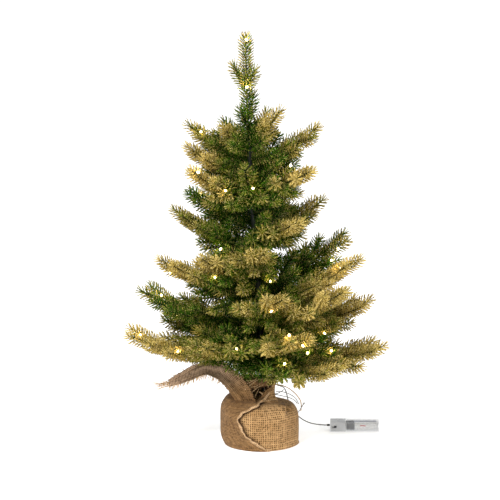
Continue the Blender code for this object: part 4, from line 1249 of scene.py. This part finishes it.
def make_tail():
    """The cloth's free corner: a band out of the neck that arches over and droops to a frayed tip."""
    centres = smooth_route([row[0] for row in TAIL_LINE], 2.0)
    count = len(centres) - 1
    knots = [0]
    for low, high in zip(TAIL_LINE, TAIL_LINE[1:]):
        knots.append(knots[-1] + max(1, round((Vector(high[0]) - Vector(low[0])).length / 2.0)))
    rows = []
    for index, centre in enumerate(centres):
        half = between([(knot, row[1]) for knot, row in zip(knots, TAIL_LINE)], index)
        across = Vector([between([(knot, row[2][axis]) for knot, row in zip(knots, TAIL_LINE)], index)
                         for axis in range(3)]).normalized()
        ahead = centres[min(index + 1, count)] - centres[max(index - 1, 0)]
        normal = ahead.cross(across).normalized()
        row = []
        for step in range(25):
            side = step / 12 - 1.0
            share = index / count
            curl = -2.6 * side ** 2 + 1.3 * math.sin(4.2 * side + 6.0 * share) + 0.6 * math.sin(9 * side + 2)
            ragged = 1.0 + 0.05 * math.sin(index * 1.9) * abs(side)
            row.append(centre + across * half * side * ragged + normal * curl * min(1.0, half / 8))
        rows.append(row)
    faded = {"faded": lambda line, step: smooth_step(line / count, 0.15, 0.55)}
    return cloth_sheet("burlap_tail_cloth", rows, FINE_BURLAP, False, shades=faded), rows


def thread(start, heading, length, sag, choice, wobble=0.8):
    """A loose thread's route: out along its heading, sagging and wandering."""
    made = []
    count = max(3, round(length / 3.0))
    drift = Vector((choice.uniform(-1, 1), choice.uniform(-1, 1), choice.uniform(-0.5, 0.5)))
    for step in range(count + 1):
        share = step / count
        place = Vector(start) + Vector(heading).normalized() * length * share
        place += drift * wobble * length * 0.22 * share ** 2
        place.z -= sag * length * share ** 2
        made.append(place)
    return made


def make_threads(name, routes, radius, choice):
    """Frayed threads as thin tapering tubes, in one piece."""
    made = []
    for index, route in enumerate(routes):
        thick = radius * choice.uniform(0.7, 1.2)
        radii = [thick * (1.0 - 0.5 * step / (len(route) - 1)) for step in range(len(route))]
        made.append(swept(f"{name}_{index}", route, radii, YARN_FINISH, 5, 0.002))
    return joined(name, made)


def lip_threads(choice):
    """Short threads all round the mouth's lip."""
    last = len(BAG_RINGS) - 1.0
    routes = []
    for _ in range(LIP_THREADS):
        angle = choice.uniform(0, 360)
        start = bag_point(angle, last) - Vector((0, 0, 0.6))
        turn = math.radians(angle + choice.uniform(-50, 50))
        lean_x = math.cos(turn) * choice.uniform(-0.6, 0.7)
        lean_y = math.sin(turn) * choice.uniform(-0.6, 0.7)
        heading = (lean_x, lean_y, 1.0)
        routes.append(thread(start, heading, choice.uniform(2.5, 7.5), 0.25, choice))
    return routes


def mouth_strands():
    """The few thick loose yarns that cross in front of the mouth."""
    routes = []
    for start, end, rise in MOUTH_STRANDS:
        middle = (Vector(start) + Vector(end)) / 2 + Vector((0, -2.0, rise))
        routes.append(smooth_route([start, middle, end], MOUTH_STRAND_STEP))
    return routes


def make_wads():
    """Crumpled lumps of the cloth tucked into the mouth."""
    made = []
    for number, (centre, sizes, turn) in enumerate(WADS):
        rows = []
        for line in range(29):
            tilt = math.pi * (line + 0.5) / 29 - math.pi / 2
            row = []
            for step in range(48):
                angle = math.tau * step / 48
                fold = (1.0 + 0.17 * math.sin(3 * angle + 5 * tilt + turn)
                        + 0.12 * math.sin(7 * angle - 4 * tilt)
                        + 0.09 * math.sin(11 * angle + 9 * tilt + 2 * turn))
                row.append(Vector(centre) + Vector((sizes[0] * math.cos(tilt) * math.cos(angle + turn),
                                                    sizes[1] * math.cos(tilt) * math.sin(angle + turn),
                                                    sizes[2] * math.sin(tilt))) * fold)
            rows.append(row)
        made.append(cloth_sheet(f"burlap_wad_{number}", rows, FINE_BURLAP, True, 0.6))
    return joined("burlap_wads", made)


def tail_threads(rows, choice):
    """A fringe along the tail's lower edge and tip, and a few long strands."""
    routes = []
    count = len(rows) - 1
    for index, row in enumerate(rows):
        if index < count * 0.42:
            continue
        share = index / count
        for _ in range(FRINGE_PER_ROW):
            start = row[0] if choice.random() < 0.85 else row[-1]
            down = -1.0 if start is row[0] else 0.1
            heading = (choice.uniform(-0.5, 0.0), choice.uniform(-0.2, 0.2), down)
            reach = choice.uniform(4.0, 11.0) * (1.0 - 0.25 * share)
            routes.append(thread(start, heading, reach, 0.15, choice))
    tip = rows[-1]
    for index in range(TIP_STRANDS):
        start = tip[choice.randrange(len(tip))]
        heading = (-1.0, choice.uniform(-0.25, 0.25), choice.uniform(-0.45, 0.12))
        routes.append(thread(start, heading, choice.uniform(9, 31), 0.12, choice, 0.5))
    return routes


def make_twine():
    """The twine that closes the neck, sunk in the crease under the mouth."""
    route = []
    for step in range(181):
        route.append(bag_surface(360.0 * step / 180, TWINE_RING, TWINE_RADIUS))
    return swept("neck_twine", route, [TWINE_RADIUS] * len(route), YARN_FINISH, 8, 0.006)


def make_burlap():
    choice = random.Random(7)
    bag = make_bag_cloth()
    wrap, hem = make_wrap()
    mouth = make_mouth()
    tail, rows = make_tail()
    lip_fray = make_threads("lip_fray", lip_threads(choice), THREAD_RADIUS, choice)
    tail_fray = make_threads("tail_fray", tail_threads(rows, choice), FRINGE_RADIUS, choice)
    strands = make_threads("mouth_strands", mouth_strands(), MOUTH_STRAND_RADIUS, choice)
    wads = make_wads()
    twine = make_twine()
    for piece in (bag, wrap, hem, mouth, tail, lip_fray, tail_fray, strands, wads, twine):
        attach(piece, "base")
    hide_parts("burlap_bag")
    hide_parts("burlap_ruffle")
    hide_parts("burlap_tail")
    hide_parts("neck_tie")


# Small wires beside the neck

def make_stub_wires():
    """Twisted ends of the light string that stick out of the neck, one with a soldered ball."""
    made = []
    for index, route in enumerate(STUB_WIRES):
        points = smooth_route(route, 2.0)
        made.append(swept(f"stub_{index}", points, [STUB_RADIUS] * len(points), LEAD_FINISH, 6, 0.003))
    ball = Vector(STUB_WIRES[-1][-1])
    made.append(capsule("stub_ball", ball - Vector((0.6, 0, 0.5)), Vector((0.7, 0, 0.7)), 1.5, 3.4,
                        METAL_FINISH))
    piece = joined("string_stub_wires", made)
    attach(piece, "base")


# Battery box and the parts under the burlap

def assign(node, material):
    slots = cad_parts[node].data.materials
    slots.clear()
    slots.append(material)


def finish_hardware():
    """Procedural finishes for the CAD nodes that stay in view."""
    clear = clear_finish(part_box("box_tray")[0].x + SWITCH_BAY * MM)
    black = mottled("black_moulding", (0.008, 0.008, 0.009), (0.03, 0.03, 0.032), 300.0, 0.4, 0.00005)
    grey = mottled("grey_moulding", (0.20, 0.20, 0.19), (0.34, 0.34, 0.33), 80.0, 0.6, 0.0001)
    for node in ("box_tray", "box_cover"):
        assign(node, clear)
    for node in ("switch_slider", "lead_grommet"):
        assign(node, black)
    for node in ("weight_tub", "trunk_socket"):
        assign(node, grey)
    for node in ("switch_body", "contact_front", "contact_rear", "contact_bridge", "spring_front",
                 "spring_rear", "cover_screw"):
        assign(node, METAL_FINISH)
    assign("circuit_board", mottled("board_lacquer", (0.012, 0.07, 0.03), (0.03, 0.14, 0.06), 400.0, 0.4))
    assign("cement_weight", mottled("cast_cement", (0.30, 0.29, 0.27), (0.52, 0.51, 0.48),
                                    120.0, 0.95, 0.0005))
    assign("trunk_pole", mottled("dark_paint", (0.010, 0.012, 0.010), (0.03, 0.034, 0.028),
                                 200.0, 0.45, 0.00005))
    assign("trunk_sleeve", tape_finish())
    front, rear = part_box("battery_front")[0].x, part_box("battery_rear")[0].x
    red = (0.62, 0.06, 0.05)
    assign("battery_front", cell_finish("front_cell_wrap", front, (0.86, 0.85, 0.84), 0.26,
                                        (0.44, 0.62, 7.4, 8.8, red)))
    assign("battery_rear", cell_finish("rear_cell_wrap", rear, (0.42, 0.43, 0.50), 0.27))


# Stage

def add_area_light(name, place, target, size, power, colour):
    data = bpy.data.lights.new(name, "AREA")
    data.energy = power
    data.size = size
    data.color = colour
    light = new_object(name, data)
    light.location = place
    light.rotation_euler = (Vector(target) - Vector(place)).to_track_quat("-Z", "Y").to_euler()


def make_stage():
    """A plain white floor, a bright even world and soft studio lights."""
    material, tree, shader = new_material("white_floor")
    soft = noise(tree, object_place(tree), 2.0)
    tree.links.new(ramp(tree, soft, [(0.3, (0.90, 0.90, 0.90)), (0.7, (0.93, 0.93, 0.93))]),
                   shader.inputs["Base Color"])
    set_shader(shader, Roughness=0.9, Specular_IOR_Level=0.0, Emission_Strength=FLOOR_GLOW)
    set_shader(shader, Emission_Color=(1.0, 1.0, 1.0, 1.0))
    half = FLOOR_HALF
    floor = mesh_object("floor", [(-half, -half, 0), (half, -half, 0), (half, half, 0), (-half, half, 0)],
                        [(0, 1, 2, 3)], material, False)
    world = bpy.data.worlds.new("studio")
    bpy.context.scene.world = world
    world.use_nodes = True
    background = world.node_tree.nodes["Background"]
    background.inputs["Color"].default_value = (1.0, 1.0, 1.0, 1.0)
    background.inputs["Strength"].default_value = WORLD_STRENGTH
    add_area_light("key", (-0.9, -1.9, 2.0), (0, 0, 0.25), 0.5, 62.0, (1.0, 0.98, 0.95))
    add_area_light("fill", (1.6, -1.4, 1.0), (0, 0, 0.25), 1.2, 16.0, (1.0, 0.99, 0.97))
    add_area_light("rim", (0.4, 1.8, 1.7), (0, 0, 0.3), 1.2, 14.0, (1.0, 1.0, 1.0))
    bpy.context.scene.view_settings.view_transform = "Standard"


make_camera()
NEEDLE_FINISH = needle_finish()
COARSE_BURLAP = burlap_finish("coarse_burlap", COARSE_PITCH, 0.35,
                              (0.48, 0.292, 0.132), (0.26, 0.140, 0.052), 0.6)
FINE_BURLAP = burlap_finish("fine_burlap", FINE_PITCH, 0.25,
                            (0.33, 0.188, 0.079), (0.18, 0.090, 0.034), 0.3)
# A lighter copy of the fine burlap for the rolled hem: painted light on its lit edge.
HEM_BURLAP_PAINTED_LIGHT = burlap_finish("hem_burlap", FINE_PITCH, 0.45,
                           (0.64, 0.420, 0.230), (0.36, 0.215, 0.105), 0.3)
YARN_FINISH = twisted_finish("jute_yarn", (0.30, 0.17, 0.07), (0.62, 0.42, 0.22), 3.0, 0.9)
LEAD_FINISH = twisted_finish("lead_cover", (0.14, 0.14, 0.135), (0.34, 0.335, 0.32), 5.0, 0.45)
STRING_FINISH = twisted_finish("string_cover", (0.006, 0.020, 0.006), (0.02, 0.06, 0.018), 4.0, 0.45)
METAL_FINISH = mottled("nickel_plate", (0.42, 0.42, 0.41), (0.62, 0.62, 0.60), 300.0, 0.3, 0.00003, 1.0)
BULB_FINISH = bulb_finish()
make_cords()
make_foliage()
make_lights()
make_burlap()
make_stub_wires()
finish_hardware()
make_stage()
